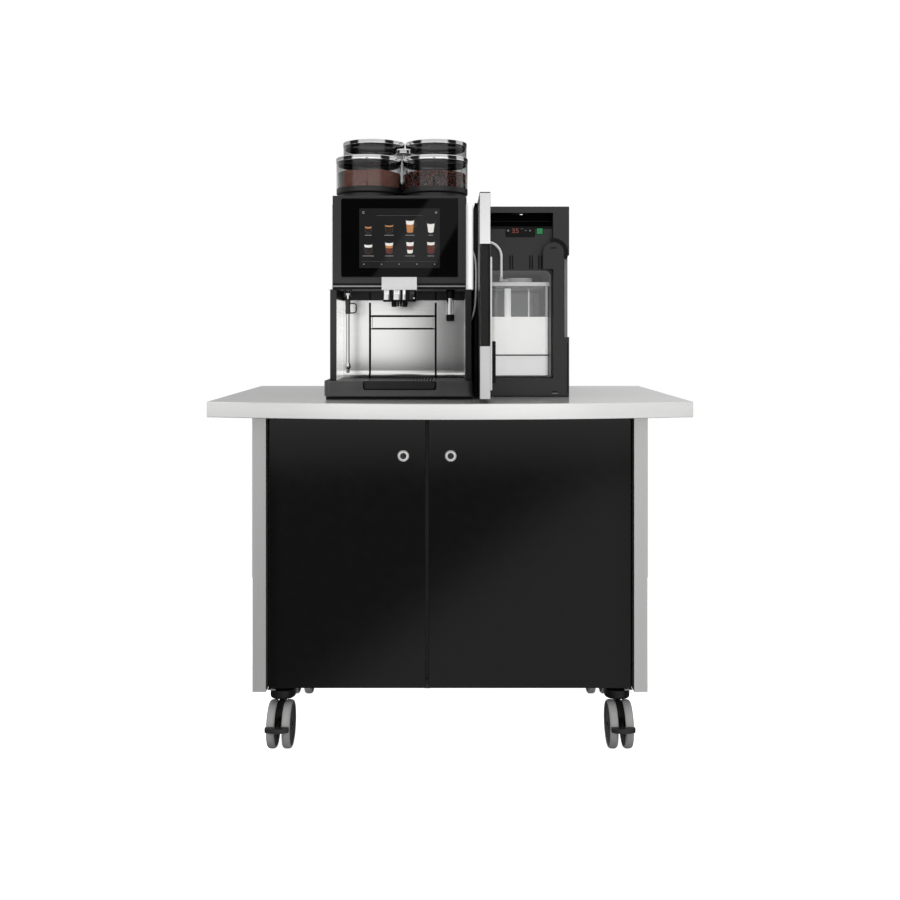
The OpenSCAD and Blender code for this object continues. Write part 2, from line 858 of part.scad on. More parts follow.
module hoppers() {
  color("lightgray", 0.4) at_hoppers([0:3]) difference() {
    rod_z(0, 0, foot_h, $hopper_h - lid_t, hopper_d);
    rod_z(0, 0, foot_h + hopper_wall, $hopper_h, 2 * hopper_bore_r);
  }
}

module fill() {
  rod_z(0, 0, foot_h + hopper_wall, foot_h + hopper_wall + fill_h, 2 * (hopper_bore_r - fit_clear));
}

module coffee_beans() {
  color("saddlebrown") at_hoppers([1, 2, 3]) fill();
}

module cocoa_powder() {
  color("rosybrown") at_hoppers([0]) fill();
}

module hopper_lid(i) {
  plug_r = hopper_bore_r - fit_clear;
  color("silver") at_hoppers([i]) {
    rod_z(0, 0, $hopper_h - lid_t, $hopper_h, lid_d);
    difference() {
      rod_z(0, 0, $hopper_h - lid_t - lid_plug_h, $hopper_h - lid_t + eps, 2 * plug_r);
      rod_z(0, 0, $hopper_h - lid_t - lid_plug_h - eps, $hopper_h - lid_t, 2 * (plug_r - hopper_wall));
    }
  }
}

module hopper_lock() {
  color("silver") {
    rod_z(machine_x, lock_y, deck - body_wall, deck + knob_z + eps, post_d);
    rod_z(machine_x, lock_y, deck + knob_z, deck + knob_z + knob_h, knob_d);
  }
}

// Boiler, brewer and two grinders inside the rear body
module brew_unit() {
  boiler_y = machine_back - boiler_d / 2 - works_gap;
  brewer_low = [machine_x + brewer_off, machine_back - works_gap - brewer_size[1], base_top];
  color("goldenrod") {
    rod_z(machine_x - boiler_off, boiler_y, base_top, base_top + boiler_h, boiler_d);
    box(brewer_low, brewer_low + brewer_size);
    for (x = [hopper_left, hopper_right]) {
      rod_z(x, rear_hopper_y, deck - body_wall - grinder_h, deck - body_wall, grinder_d);
    }
  }
}

// Pieces of the coffee machine that move
module drip_tray() {
  half = tray_w / 2;
  low = base_top - tray_h + tray_seat;
  top = base_top - grille_t;
  color([0.15, 0.15, 0.15]) {
    difference() {
      box([machine_x - half, base_front, low], [machine_x + half, base_front + tray_d, top]);
      box([machine_x - half + tray_wall, base_front + tray_wall, low + tray_wall],
        [machine_x + half - tray_wall, base_front + tray_d - tray_wall, top + eps]);
    }
    upright(base_front - lip_t, base_front)
      round_rect([machine_x - half, low], [machine_x + half, base_top], tray_h / 3);
  }
}

module drip_grille() {
  half = tray_w / 2 - 1;
  slots = 21;
  slot_w = 4;
  step = (2 * half - 8) / slots;
  color("gray") difference() {
    box([machine_x - half, base_front + fit_clear, base_top - grille_t],
      [machine_x + half, base_front + tray_d - grille_back, base_top]);
    for (i = [0:slots - 1]) {
      x = machine_x - half + 4 + step * (i + 0.5);
      box([x - slot_w / 2, base_front + 12, base_top - grille_t - eps],
        [x + slot_w / 2, base_front + tray_d - 12, base_top + eps]);
    }
  }
}

module grounds_drawer() {
  half = drawer_w / 2;
  box_half = half - 3;
  low = base_top + fit_clear;
  box_y = splash_y + drawer_front_t;
  pocket = half - shelf_ear;
  color("silver") difference() {
    union() {
      box([machine_x - half, splash_y, low], [machine_x + half, box_y, base_top + drawer_h]);
      box([machine_x - box_half, box_y - eps, low],
        [machine_x + box_half, box_y + drawer_d, low + drawer_box_h]);
    }
    box([machine_x - box_half + drawer_wall, box_y, low + drawer_wall],
      [machine_x + box_half - drawer_wall, box_y + drawer_d - drawer_wall, low + drawer_box_h + eps]);
    box([machine_x - pocket, splash_y - eps, shelf_axis_z - shelf_t / 2 - 3],
      [machine_x + pocket, splash_y + shelf_t + 1, shelf_axis_z + shelf_h + 3]);
    rod_x(machine_x - pocket - shelf_pin_l, machine_x + pocket + shelf_pin_l, shelf_y, shelf_axis_z,
      shelf_pin_d + 2 * run_clear);
  }
}

module cup_shelf() {
  half = drawer_w / 2 - shelf_ear - 0.5;
  pin_half = half + shelf_pin_l;
  color("silver") {
    rod_x(machine_x - half, machine_x + half, shelf_y, shelf_axis_z, shelf_t);
    box([machine_x - half, splash_y, shelf_axis_z],
      [machine_x + half, splash_y + shelf_t, shelf_axis_z + shelf_h - shelf_t / 2]);
    rod_x(machine_x - pin_half, machine_x + pin_half, shelf_y, shelf_axis_z, shelf_pin_d);
  }
}

module spout_head() {
  body_half = spout_w / 2 - 3;
  body_low = spout_z - spout_body_h;
  mid_y = (spout_front + spout_back) / 2;
  end_x = body_half - spout_d / 2;
  color("silver") {
    box([machine_x - spout_w / 2, spout_front, spout_z],
      [machine_x + spout_w / 2, spout_back, spout_z + spout_cover_h]);
    box([machine_x - end_x, spout_front, body_low], [machine_x + end_x, spout_back, spout_z]);
    for (side = [-1, 1]) {
      rod_z(machine_x + side * end_x, mid_y, body_low, spout_z, spout_d);
      rod_z(machine_x + side * nozzle_d * 0.8, mid_y, body_low - nozzle_l, body_low, nozzle_d);
      rod_z(machine_x + side * guide_x, guide_y, spout_z - arm_low, spout_z - arm_low + guide_l, guide_d);
    }
    box([machine_x - guide_x - guide_d, spout_back - eps, spout_z - arm_low],
      [machine_x + guide_x + guide_d, guide_y + guide_d, spout_z - arm_high]);
  }
}

module steam_wand() {
  loop_x = loop_reach + loop_wire / 2;
  loop_low = -grip_bottom + loop_wire;
  color("silver") translate([wand_x, wand_y, wand_z]) {
    rod_x(-wand_eye_w / 2, wand_eye_w / 2, 0, 0, 13);
    rod_x(-wand_eye_w / 2 - wand_ear_t, wand_eye_w / 2 + wand_ear_t, 0, 0, wand_pin_d);
    rod_z(0, 0, -wand_l, 0, wand_d);
    rod_z(0, 0, -grip_bottom, -grip_top, 2 * grip_r);
    rod_x(0, loop_x, 0, -loop_top, loop_wire);
    rod_x(0, loop_x, 0, loop_low, loop_wire);
    rod_z(loop_x, 0, loop_low, -loop_top, loop_wire);
    for (z = [-loop_top, loop_low]) {
      translate([loop_x, 0, z]) sphere(d = loop_wire);
    }
    rod_z(0, 0, -wand_l + 11, -wand_l + 26, wand_tip_d);
  }
}

// Milk cooler
module cooler_housing() {
  recess_top = liner_top + top_recess_h;
  grip_low = [cooler_right - side_grip[0], cooler_front - eps, side_grip_z];
  color([0.16, 0.16, 0.16]) {
    difference() {
      box([cooler_left, cooler_front, worktop_top], [cooler_right, cooler_back, cooler_top]);
      box([cavity_left, cooler_front - eps, cavity_bottom],
        [cavity_right, cooler_front + cavity_d, liner_top]);
      box([cavity_left, cooler_front - eps, liner_top - eps],
        [cavity_right, cooler_front + top_recess_d, recess_top]);
      box([cooler_left + rear_wall, cooler_back - rear_depth, worktop_top + rear_wall],
        [cooler_right - rear_wall, cooler_back + eps, cooler_top - rear_wall]);
      box(grip_low, grip_low + side_grip + [eps, eps, 0]);
    }
    box([hinge_x - ear_half, hinge_y - ear_half, ear_z], [hinge_x + ear_half, cooler_front, ear_z + ear_t]);
    rod_z(hinge_x, hinge_y, ear_z, leaf_bottom + hinge_pin_l, hinge_pin_d);
    box([hinge_x - ear_half, hinge_y - ear_half, cooler_top],
      [hinge_x + ear_half, cooler_front + 30, cooler_top + ear_t]);
    rod_z(hinge_x, hinge_y, leaf_top - hinge_pin_l, cooler_top + ear_t, hinge_pin_d);
    rod_x(cavity_left, cavity_left + hose_gland_l, hose_start[1], hose_start[2], hose_gland_d);
    rod_x(machine_x + body_half, cooler_left, link_place[0], link_place[1], link_d);
  }
}

module cooler_liner() {
  room = rocker_size / 2 + rocker_room;
  color([0.25, 0.25, 0.25]) difference() {
    box([cavity_left, liner_front, cavity_bottom], [cavity_right, cooler_front + cavity_d, liner_top]);
    upright(liner_front - eps, niche_back) {
      round_rect([niche_left, niche_bottom], [niche_right, niche_bottom + niche_h], niche_r);
      translate([niche_left, niche_bottom]) square([niche_right - niche_left, niche_r + eps]);
    }
    box([rocker_x - rocker_size / 2 - 0.5, liner_front - eps, rocker_z - room],
      [rocker_x + rocker_size / 2 + 0.5, rocker_y + rocker_t, rocker_z + room]);
    rod_x(rocker_x - rocker_size / 2 - rocker_pin_l - eps, rocker_x + rocker_size / 2 + rocker_pin_l + eps,
      rocker_y, rocker_z, rocker_pin_d + 2 * run_clear);
  }
}

module cooling_unit() {
  left = cooler_left + rear_wall;
  right = cooler_right - rear_wall;
  low = worktop_top + rear_wall;
  high = cooler_top - rear_wall;
  front = cooler_back - rear_depth;
  cover_t = 3;
  fins = 11;
  slots = 15;
  fin_step = (right - left - 40) / (fins - 1);
  slot_step = (high - low - 60) / (slots - 1);
  color("gray") {
    box([left, front, low], [right, front + 20, high]);
    for (i = [0:fins - 1]) {
      x = left + 20 + i * fin_step;
      box([x - 1.5, front + 20, low], [x + 1.5, cooler_back - 30, high - 60]);
    }
    difference() {
      box([left, cooler_back - cover_t, low], [right, cooler_back, high]);
      for (i = [0:slots - 1]) {
        z = low + 30 + i * slot_step;
        box([left + 20, cooler_back - cover_t - eps, z - 4], [right - 20, cooler_back + eps, z + 4]);
      }
    }
  }
}

module cooler_door() {
  bore_d = hinge_pin_d + 2 * run_clear;
  color("silver") difference() {
    box([leaf_left, leaf_front, leaf_bottom], [leaf_right, leaf_back, leaf_top]);
    rod_z(hinge_x, hinge_y, leaf_bottom - eps, leaf_bottom + hinge_pin_l + eps, bore_d);
    rod_z(hinge_x, hinge_y, leaf_top - hinge_pin_l - eps, leaf_top + eps, bore_d);
    box([leaf_left + grip_edge, leaf_front - eps, leaf_grip_z],
      [leaf_right - grip_edge, leaf_front + grip_d, leaf_grip_z + grip_h]);
  }
}

module door_gasket() {
  low = [leaf_right, leaf_front + 7, cavity_bottom - gasket_margin];
  high = [leaf_right + gasket_t, hinge_y - 4, niche_bottom + niche_h + gasket_margin];
  color("white") difference() {
    box(low, high);
    box(low + [-eps, gasket_w, gasket_w], high + [eps, -gasket_w, -gasket_w]);
  }
}

module rocker_switch() {
  half = rocker_size / 2;
  color("green") translate([rocker_x, rocker_y, rocker_z]) {
    rotate([rocker_tilt, 0, 0])
      box([-half, liner_front - rocker_y - rocker_proud, -half],
        [half, liner_front - rocker_y - rocker_proud + rocker_t, half]);
    rod_x(-half - rocker_pin_l, half + rocker_pin_l, 0, 0, rocker_pin_d);
  }
}

module milk_container() {
  low = [milk_left, milk_front];
  high = [milk_left + milk_w, milk_front + milk_d];
  wall = [milk_wall, milk_wall];
  color("lightgray", 0.4) difference() {
    translate([0, 0, milk_bottom]) linear_extrude(milk_h) round_rect(low, high, milk_r);
    translate([0, 0, milk_bottom + milk_wall]) linear_extrude(milk_h)
      round_rect(low + wall, high - wall, milk_r - milk_wall);
  }
}

module milk_lid() {
  low = [milk_left, milk_front];
  high = [milk_left + milk_w, milk_front + milk_d];
  rim = [milk_rim, milk_rim];
  plug = [milk_wall + fit_clear, milk_wall + fit_clear];
  color("white") {
    translate([0, 0, milk_top]) linear_extrude(milk_lid_t)
      round_rect(low - rim, high + rim, milk_r + milk_rim);
    translate([0, 0, milk_top - 6]) linear_extrude(6 + eps)
      round_rect(low + plug, high - plug, milk_r - milk_wall);
    rod_z(milk_cap[0], milk_cap[1], milk_lid_top - eps, milk_lid_top + milk_cap_h, milk_cap_d);
    rod_z(pipe_place[0], pipe_place[1], milk_bottom + 10, milk_top, pipe_d);
    rod_x(elbow_x, milk_cap[0], spigot_y, spigot_z, spigot_d);
    translate([elbow_x, spigot_y, spigot_z]) sphere(d = spigot_d);
    rod_y(elbow_x, elbow_y, spigot_y, spigot_z, spigot_d);
    translate([elbow_x, elbow_y, spigot_z]) sphere(d = spigot_d);
    rod_z(elbow_x, elbow_y, spigot_z, elbow_top, spigot_d);
  }
}

// Tube of a round section along a list of points, with its end faces square to the given directions
function unit(v) = v / norm(v);
function along(path, i) =
  i == 0 ? [1, 0, 0] : i == len(path) - 1 ? [0, 0, -1] : unit(path[i + 1] - path[i - 1]);
function across(t) = unit(cross(abs(t[1]) > 0.9 ? [0, 0, 1] : [0, 1, 0], t));
function ring(p, t, r, n) =
  [for (k = [0:n - 1]) p + r * (cos(360 * k / n) * across(t) + sin(360 * k / n) * cross(t, across(t)))];

module tube(path, d, sides) {
  last = len(path) - 1;
  points = [for (i = [0:last]) each ring(path[i], along(path, i), d / 2, sides)];
  start = [for (k = [0:sides - 1]) k];
  finish = [for (k = [sides - 1:-1:0]) last * sides + k];
  walls = [for (i = [0:last - 1], k = [0:sides - 1]) let (a = i * sides + k, b = i * sides + (k + 1) % sides)
    each [[a, a + sides, b], [b, a + sides, b + sides]]];
  polyhedron(points, concat([start], walls, [finish]));
}

module milk_hose() {
  color("white") tube(hose_points, hose_d, hose_sides);
}

worktop_skin();
worktop_core();
side_panels();
floor_panel();
back_panel();
top_rails();
divider();
water_tanks();
door_pivots();
caster_mounts();
door_left();
door_right();
lock_body(lock_left_x);  // lock_body_left
lock_body(lock_right_x);  // lock_body_right
lock_plug(lock_left_x);  // lock_plug_left
lock_plug(lock_right_x);  // lock_plug_right
fork(-caster_x, caster_front_y);  // fork_front_left
fork(caster_x, caster_front_y);  // fork_front_right
fork(-caster_x, caster_rear_y);  // fork_rear_left
fork(caster_x, caster_rear_y);  // fork_rear_right
wheel_pair(-caster_x, caster_front_y);  // wheels_front_left
wheel_pair(caster_x, caster_front_y);  // wheels_front_right
wheel_pair(-caster_x, caster_rear_y);  // wheels_rear_left
wheel_pair(caster_x, caster_rear_y);  // wheels_rear_right
pedal(-caster_x, caster_front_y);  // pedal_front_left
pedal(caster_x, caster_front_y);  // pedal_front_right
pedal(-caster_x, caster_rear_y);  // pedal_rear_left
pedal(caster_x, caster_rear_y);  // pedal_rear_right
machine_base();
machine_body();
backsplash();
display_housing();
display_glass();
side_lights();
hot_water_spout();
hopper_feet();
hoppers();
coffee_beans();
cocoa_powder();
brew_unit();
drip_tray();
drip_grille();
grounds_drawer();
cup_shelf();
spout_head();
steam_wand();
hopper_lid(0);  // lid_front_left
hopper_lid(1);  // lid_front_right
hopper_lid(2);  // lid_rear_left
hopper_lid(3);  // lid_rear_right
hopper_lock();
cooler_housing();
cooler_liner();
cooling_unit();
cooler_door();
door_gasket();
rocker_switch();
milk_container();
milk_lid();
milk_hose();
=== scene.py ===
# %% [markdown]
# Coffee cart, dressed in Blender.
# The CAD frame gives every piece its size and place. This lesson keeps those places and gives each piece
# the rounded edges, fine parts and finishes that the real cart shows: a steel worktop on a two-door
# cabinet with casters, a bean-to-cup machine with four hoppers, and a milk cooler with its door open.

# %% Load the frame
import math

import bmesh
import bpy
from mathutils import Matrix, Vector


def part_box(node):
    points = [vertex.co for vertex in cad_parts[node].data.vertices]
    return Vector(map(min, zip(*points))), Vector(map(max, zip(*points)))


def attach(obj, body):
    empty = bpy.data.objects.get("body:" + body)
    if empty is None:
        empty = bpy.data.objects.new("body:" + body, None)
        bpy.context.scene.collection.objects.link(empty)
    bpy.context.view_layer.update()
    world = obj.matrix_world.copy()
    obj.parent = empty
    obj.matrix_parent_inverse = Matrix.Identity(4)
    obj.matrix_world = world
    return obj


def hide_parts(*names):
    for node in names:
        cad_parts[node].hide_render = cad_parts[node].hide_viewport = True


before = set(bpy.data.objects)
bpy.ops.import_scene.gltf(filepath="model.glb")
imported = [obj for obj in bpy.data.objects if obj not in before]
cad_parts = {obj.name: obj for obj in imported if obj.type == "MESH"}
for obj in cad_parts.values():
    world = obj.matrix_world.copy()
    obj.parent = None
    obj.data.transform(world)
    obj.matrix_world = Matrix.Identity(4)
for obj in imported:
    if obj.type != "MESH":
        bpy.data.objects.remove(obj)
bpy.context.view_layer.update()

scene = bpy.context.scene

# %% [markdown]
# The camera stands in front of the cart at about eye level of a seated person and looks straight ahead, so
# uprights stay upright. The picture is lowered with a lens shift, as a product photographer does, and not
# by tilting. A tilted camera would also work, but then the cabinet's sides would lean together.

# %% Camera
FOCAL_MM, SENSOR_MM, LOWERED = 40.4, 36.0, -0.132
EYE = (0.0, -2.93, 1.121)
lens = bpy.data.cameras.new("camera")
lens.lens, lens.sensor_width, lens.shift_y = FOCAL_MM, SENSOR_MM, LOWERED
camera = bpy.data.objects.new("camera", lens)
camera.location = EYE
camera.rotation_euler = (math.pi / 2, 0.0, 0.0)
scene.collection.objects.link(camera)
scene.camera = camera
scene.view_settings.view_transform = "Standard"
print("camera at", tuple(camera.location))

# %% [markdown]
# Every shape below is first gathered in a bmesh, in millimetres, because the cart's sizes are given in
# millimetres. A Shape holds many parts, each with the number of its finish, and becomes one mesh at the
# end. The alternative, many small Blender objects, would be harder to move with a door or a drawer.

# %% Shape and piece
class Shape:
    def __init__(self):
        self.bm = bmesh.new()

    def add(self, part, finish=0):
        for face in part.faces:
            face.material_index = finish
        return self.join(part)

    def join(self, part):
        mesh = bpy.data.meshes.new("part")
        part.to_mesh(mesh)
        part.free()
        self.bm.from_mesh(mesh)
        bpy.data.meshes.remove(mesh)
        return self


def plain_mesh(obj):
    graph = bpy.context.evaluated_depsgraph_get()
    return bpy.data.meshes.new_from_object(obj.evaluated_get(graph), depsgraph=graph)


def piece(name, shape, body, finishes, stands_for=(), sharp=38):
    bm = shape.bm if isinstance(shape, Shape) else shape
    bmesh.ops.scale(bm, vec=(0.001, 0.001, 0.001), verts=bm.verts)
    mesh = bpy.data.meshes.new(name)
    bm.to_mesh(mesh)
    bm.free()
    for finish in finishes:
        mesh.materials.append(finish)
    mesh.shade_smooth()
    mesh.set_sharp_from_angle(angle=math.radians(sharp))
    obj = bpy.data.objects.new(name, mesh)
    scene.collection.objects.link(obj)
    even = obj.modifiers.new("even_shading", "WEIGHTED_NORMAL")
    even.keep_sharp = True
    obj.data = plain_mesh(obj)
    obj.modifiers.remove(even)
    obj.data.name = name
    bpy.data.meshes.remove(mesh)
    return settle(obj, body, stands_for)


def settle(obj, body, stands_for=()):
    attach(obj, body)
    if stands_for:
        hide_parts(*stands_for)
    print(obj.name, "on", body, len(obj.data.polygons), "faces")
    return obj


print("helpers: Shape, piece, settle")

# %% [markdown]
# Five builders make most of the pieces. loft joins a row of outlines of equal point count, slab is a loft
# with rounded rims, lathe turns a profile round an axis, tube sweeps a circle along a line, and block is a
# box with rounded edges. eased rounds the corners of a profile. Real edges are never razor sharp, and the
# small rounds are what catches the light. Modifiers could round them too, but here each round can have its
# own size.

# %% Loft and slab
AXES = {
    "z": lambda u, v, w: (u, v, w),
    "y": lambda u, v, w: (u, w, v),
    "x": lambda u, v, w: (w, u, v),
}


def loft(loops, axis="z"):
    bm = bmesh.new()
    rings = [[bm.verts.new(AXES[axis](u, v, w)) for u, v in outline] for outline, w in loops]
    for low, high in zip(rings, rings[1:]):
        for i in range(len(low)):
            j = (i + 1) % len(low)
            bm.faces.new((low[i], low[j], high[j], high[i]))
    bm.faces.new(rings[0][::-1])
    bm.faces.new(rings[-1])
    bmesh.ops.recalc_face_normals(bm, faces=bm.faces)
    return bm


def round_box(u0, v0, u1, v1, r, steps=5):
    def outline(inset):
        radius = max(r - inset, 0.05)
        points = []
        for k, (cu, cv) in enumerate(((u1, v0), (u1, v1), (u0, v1), (u0, v0))):
            su, sv = (-1 if k in (0, 1) else 1), (1 if k in (0, 3) else -1)
            mu, mv = cu + su * (inset + radius), cv + sv * (inset + radius)
            for s in range(steps + 1):
                a = math.radians(-90 + 90 * k + 90 * s / steps)
                points.append((mu + radius * math.cos(a), mv + radius * math.sin(a)))
        return points
    return outline


def rim(r, low, high, steps=3):
    turns = [math.pi / 2 * s / steps for s in range(steps + 1)]
    bend = [(r * (1 - math.sin(a)), r * (1 - math.cos(a))) for a in turns]
    lower = [(inset, low + rise) for inset, rise in bend]
    return lower + [(inset, high - rise) for inset, rise in bend[::-1]]


def slab(outline, low, high, axis="z", r=0.8, steps=3):
    return loft([(outline(inset), w) for inset, w in rim(r, low, high, steps)], axis)


print("builders: loft, slab")

# %% Lathe, tube and block
TURNS = {"z": Matrix.Identity(3), "y": Matrix.Rotation(-math.pi / 2, 3, "X"),
         "x": Matrix.Rotation(math.pi / 2, 3, "Y")}


def lathe(profile, centre, axis="z", steps=64, ring=False):
    bm = bmesh.new()
    turns = [math.tau * k / steps for k in range(steps)]
    rows = []
    for radius, height in profile:
        around = turns[:1] if radius < 1e-6 else turns
        rows.append([bm.verts.new((radius * math.cos(a), radius * math.sin(a), height)) for a in around])
    pairs = list(zip(rows, rows[1:])) + ([(rows[-1], rows[0])] if ring else [])
    for low, high in pairs:
        for k in range(steps):
            n = (k + 1) % steps
            corner = [low[k % len(low)], low[n % len(low)], high[n % len(high)], high[k % len(high)]]
            bm.faces.new(list(dict.fromkeys(corner)))
    if not ring:
        for row in (rows[0], rows[-1]):
            if len(row) > 1:
                bm.faces.new(row)
    bmesh.ops.recalc_face_normals(bm, faces=bm.faces)
    for vert in bm.verts:
        vert.co = TURNS[axis] @ vert.co + Vector(centre)
    return bm


def eased(points, r, ring=False, steps=3):
    result = []
    count = len(points)
    for i, point in enumerate(points):
        here = Vector(point)
        if not ring and i in (0, count - 1):
            result.append(point)
            continue
        back, on = Vector(points[i - 1]) - here, Vector(points[(i + 1) % count]) - here
        reach = min(r, back.length * 0.45, on.length * 0.45)
        start, end = here + back.normalized() * reach, here + on.normalized() * reach
        for s in range(steps + 1):
            t = s / steps
            result.append(tuple(start * (1 - t) ** 2 + here * 2 * t * (1 - t) + end * t ** 2))
    return result


def tube(points, radius, sides=16):
    bm = bmesh.new()
    line = [Vector(p) for p in points]
    ways = [(line[min(i + 1, len(line) - 1)] - line[max(i - 1, 0)]).normalized() for i in range(len(line))]
    turns = [math.tau * k / sides for k in range(sides)]
    side = ways[0].orthogonal().normalized()
    rings = []
    for point, way in zip(line, ways):
        side = (side - way * side.dot(way)).normalized()
        up = way.cross(side)
        rings.append([bm.verts.new(point + radius * (math.cos(a) * side + math.sin(a) * up)) for a in turns])
    for low, high in zip(rings, rings[1:]):
        for k in range(sides):
            bm.faces.new((low[k], low[(k + 1) % sides], high[(k + 1) % sides], high[k]))
    bm.faces.new(rings[0][::-1])
    bm.faces.new(rings[-1])
    bmesh.ops.recalc_face_normals(bm, faces=bm.faces)
    return bm


def block(low, high, r=0.8, segments=3):
    bm = bmesh.new()
    bmesh.ops.create_cube(bm, size=1.0)
    for vert in bm.verts:
        vert.co = Vector([low[i] + (vert.co[i] + 0.5) * (high[i] - low[i]) for i in range(3)])
    if r:
        bmesh.ops.bevel(bm, geom=bm.edges[:], offset=r, segments=segments, profile=0.5, affect="EDGES")
    return bm


print("builders: lathe, eased, tube, block")

# %% [markdown]
# Many housings are folded or moulded boxes with bores and pockets that have to stay where the CAD has them.
# For these the CAD mesh is copied, its loose triangles are merged, and only its sharp edges are rounded.
# The CAD object itself is never touched. Building them again by hand would risk moving a bore.

# %% Soften a copy of a CAD node
def softened(node, width, segments=3, angle=30.0, cuts=()):
    bm = bmesh.new()
    bm.from_mesh(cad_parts[node].data)
    bmesh.ops.scale(bm, vec=(1000, 1000, 1000), verts=bm.verts)
    bmesh.ops.remove_doubles(bm, verts=bm.verts, dist=0.02)
    bmesh.ops.dissolve_limit(bm, angle_limit=math.radians(1.0), verts=bm.verts, edges=bm.edges)
    bmesh.ops.triangulate(bm, faces=bm.faces[:])
    edges = [e for e in bm.edges if len(e.link_faces) == 2 and e.calc_face_angle(0.0) > math.radians(angle)
             and e.calc_length() > 2.2 * width]
    bmesh.ops.bevel(bm, geom=edges, offset=width, offset_type="OFFSET", segments=segments, profile=0.5,
                    affect="EDGES", clamp_overlap=False, loop_slide=False)
    for level in cuts:
        bmesh.ops.bisect_plane(bm, geom=bm.verts[:] + bm.edges[:] + bm.faces[:], dist=0.01,
                               plane_co=(0, 0, level), plane_no=(0, 0, 1))
    bmesh.ops.triangulate(bm, faces=[f for f in bm.faces if len(f.verts) > 4])
    for face in bm.faces:
        face.material_index = 0
    return bm


def painted(bm, rule):
    bm.normal_update()
    for face in bm.faces:
        face.material_index = rule(face.calc_center_median(), face.normal)
    return bm


print("builders: softened, painted")

# %% [markdown]
# Finishes come next. Each material is a Principled shader fed by a small shader group that describes one
# real effect: brushing lines, moulded grain, faint smudges on polished parts, or loose grains. The groups
# put out a tone and a height, and every material places a group with its own scale, so that the same kind
# of surface looks related all over the cart. Painting image textures would be the other way, but procedures
# need no files.

# %% Shader groups
def rgb(text):
    parts = [int(text[i:i + 2], 16) / 255 for i in (1, 3, 5)]
    return tuple(c / 12.92 if c <= 0.04045 else ((c + 0.055) / 1.055) ** 2.4 for c in parts) + (1.0,)


def place(tree, kind, sockets=None, **settings):
    made = tree.nodes.new(kind)
    for key, value in settings.items():
        setattr(made, key, value)
    for key, value in (sockets or {}).items():
        made.inputs[key].default_value = value
    return made


def effect_group(name, build):
    tree = bpy.data.node_groups.new(name, "ShaderNodeTree")
    tree.interface.new_socket("Vector", in_out="INPUT", socket_type="NodeSocketVector")
    tree.interface.new_socket("Contrast", in_out="INPUT", socket_type="NodeSocketFloat").default_value = 1.0
    tree.interface.new_socket("Tone", in_out="OUTPUT", socket_type="NodeSocketFloat")
    tree.interface.new_socket("Height", in_out="OUTPUT", socket_type="NodeSocketFloat")
    start, end = tree.nodes.new("NodeGroupInput"), tree.nodes.new("NodeGroupOutput")
    tone, height = build(tree, start.outputs["Vector"])
    centred = place(tree, "ShaderNodeMath", {1: 0.5}, operation="SUBTRACT")
    scaled = place(tree, "ShaderNodeMath", operation="MULTIPLY")
    back = place(tree, "ShaderNodeMath", {1: 0.5}, operation="ADD", use_clamp=True)
    tree.links.new(tone, centred.inputs[0])
    tree.links.new(centred.outputs[0], scaled.inputs[0])
    tree.links.new(start.outputs["Contrast"], scaled.inputs[1])
    tree.links.new(scaled.outputs[0], back.inputs[0])
    tree.links.new(back.outputs[0], end.inputs["Tone"])
    tree.links.new(height, end.inputs["Height"])
    return tree


def noise(tree, vector, scale, detail=3.0, rough=0.55):
    made = place(tree, "ShaderNodeTexNoise", {"Scale": scale, "Detail": detail, "Roughness": rough})
    tree.links.new(vector, made.inputs["Vector"])
    return made.outputs["Fac"]


def average(tree, a, b, share=0.5):
    made = place(tree, "ShaderNodeMix", {"Factor": share})
    tree.links.new(a, made.inputs["A"])
    tree.links.new(b, made.inputs["B"])
    return made.outputs["Result"]


def brushed_lines(tree, vector):
    fine = noise(tree, vector, 1.0, 4.0, 0.7)
    return average(tree, fine, noise(tree, vector, 0.07, 2.0), 0.45), fine


def moulded_grain(tree, vector):
    return noise(tree, vector, 0.02, 3.0), noise(tree, vector, 1.0, 2.0, 0.6)


def soft_smudges(tree, vector):
    wide = noise(tree, vector, 1.0, 4.0, 0.5)
    return wide, average(tree, wide, noise(tree, vector, 6.0, 2.0), 0.4)


def loose_grains(tree, vector):
    cells = place(tree, "ShaderNodeTexVoronoi", {"Scale": 1.0})
    tree.links.new(vector, cells.inputs["Vector"])
    split = place(tree, "ShaderNodeSeparateColor")
    tree.links.new(cells.outputs["Color"], split.inputs["Color"])
    return split.outputs["Red"], noise(tree, vector, 2.5, 3.0)


BRUSHED = effect_group("brushed_lines", brushed_lines)
GRAIN = effect_group("moulded_grain", moulded_grain)
SMUDGE = effect_group("soft_smudges", soft_smudges)
GRAINS = effect_group("loose_grains", loose_grains)
print("effects:", BRUSHED.name, GRAIN.name, SMUDGE.name, GRAINS.name)

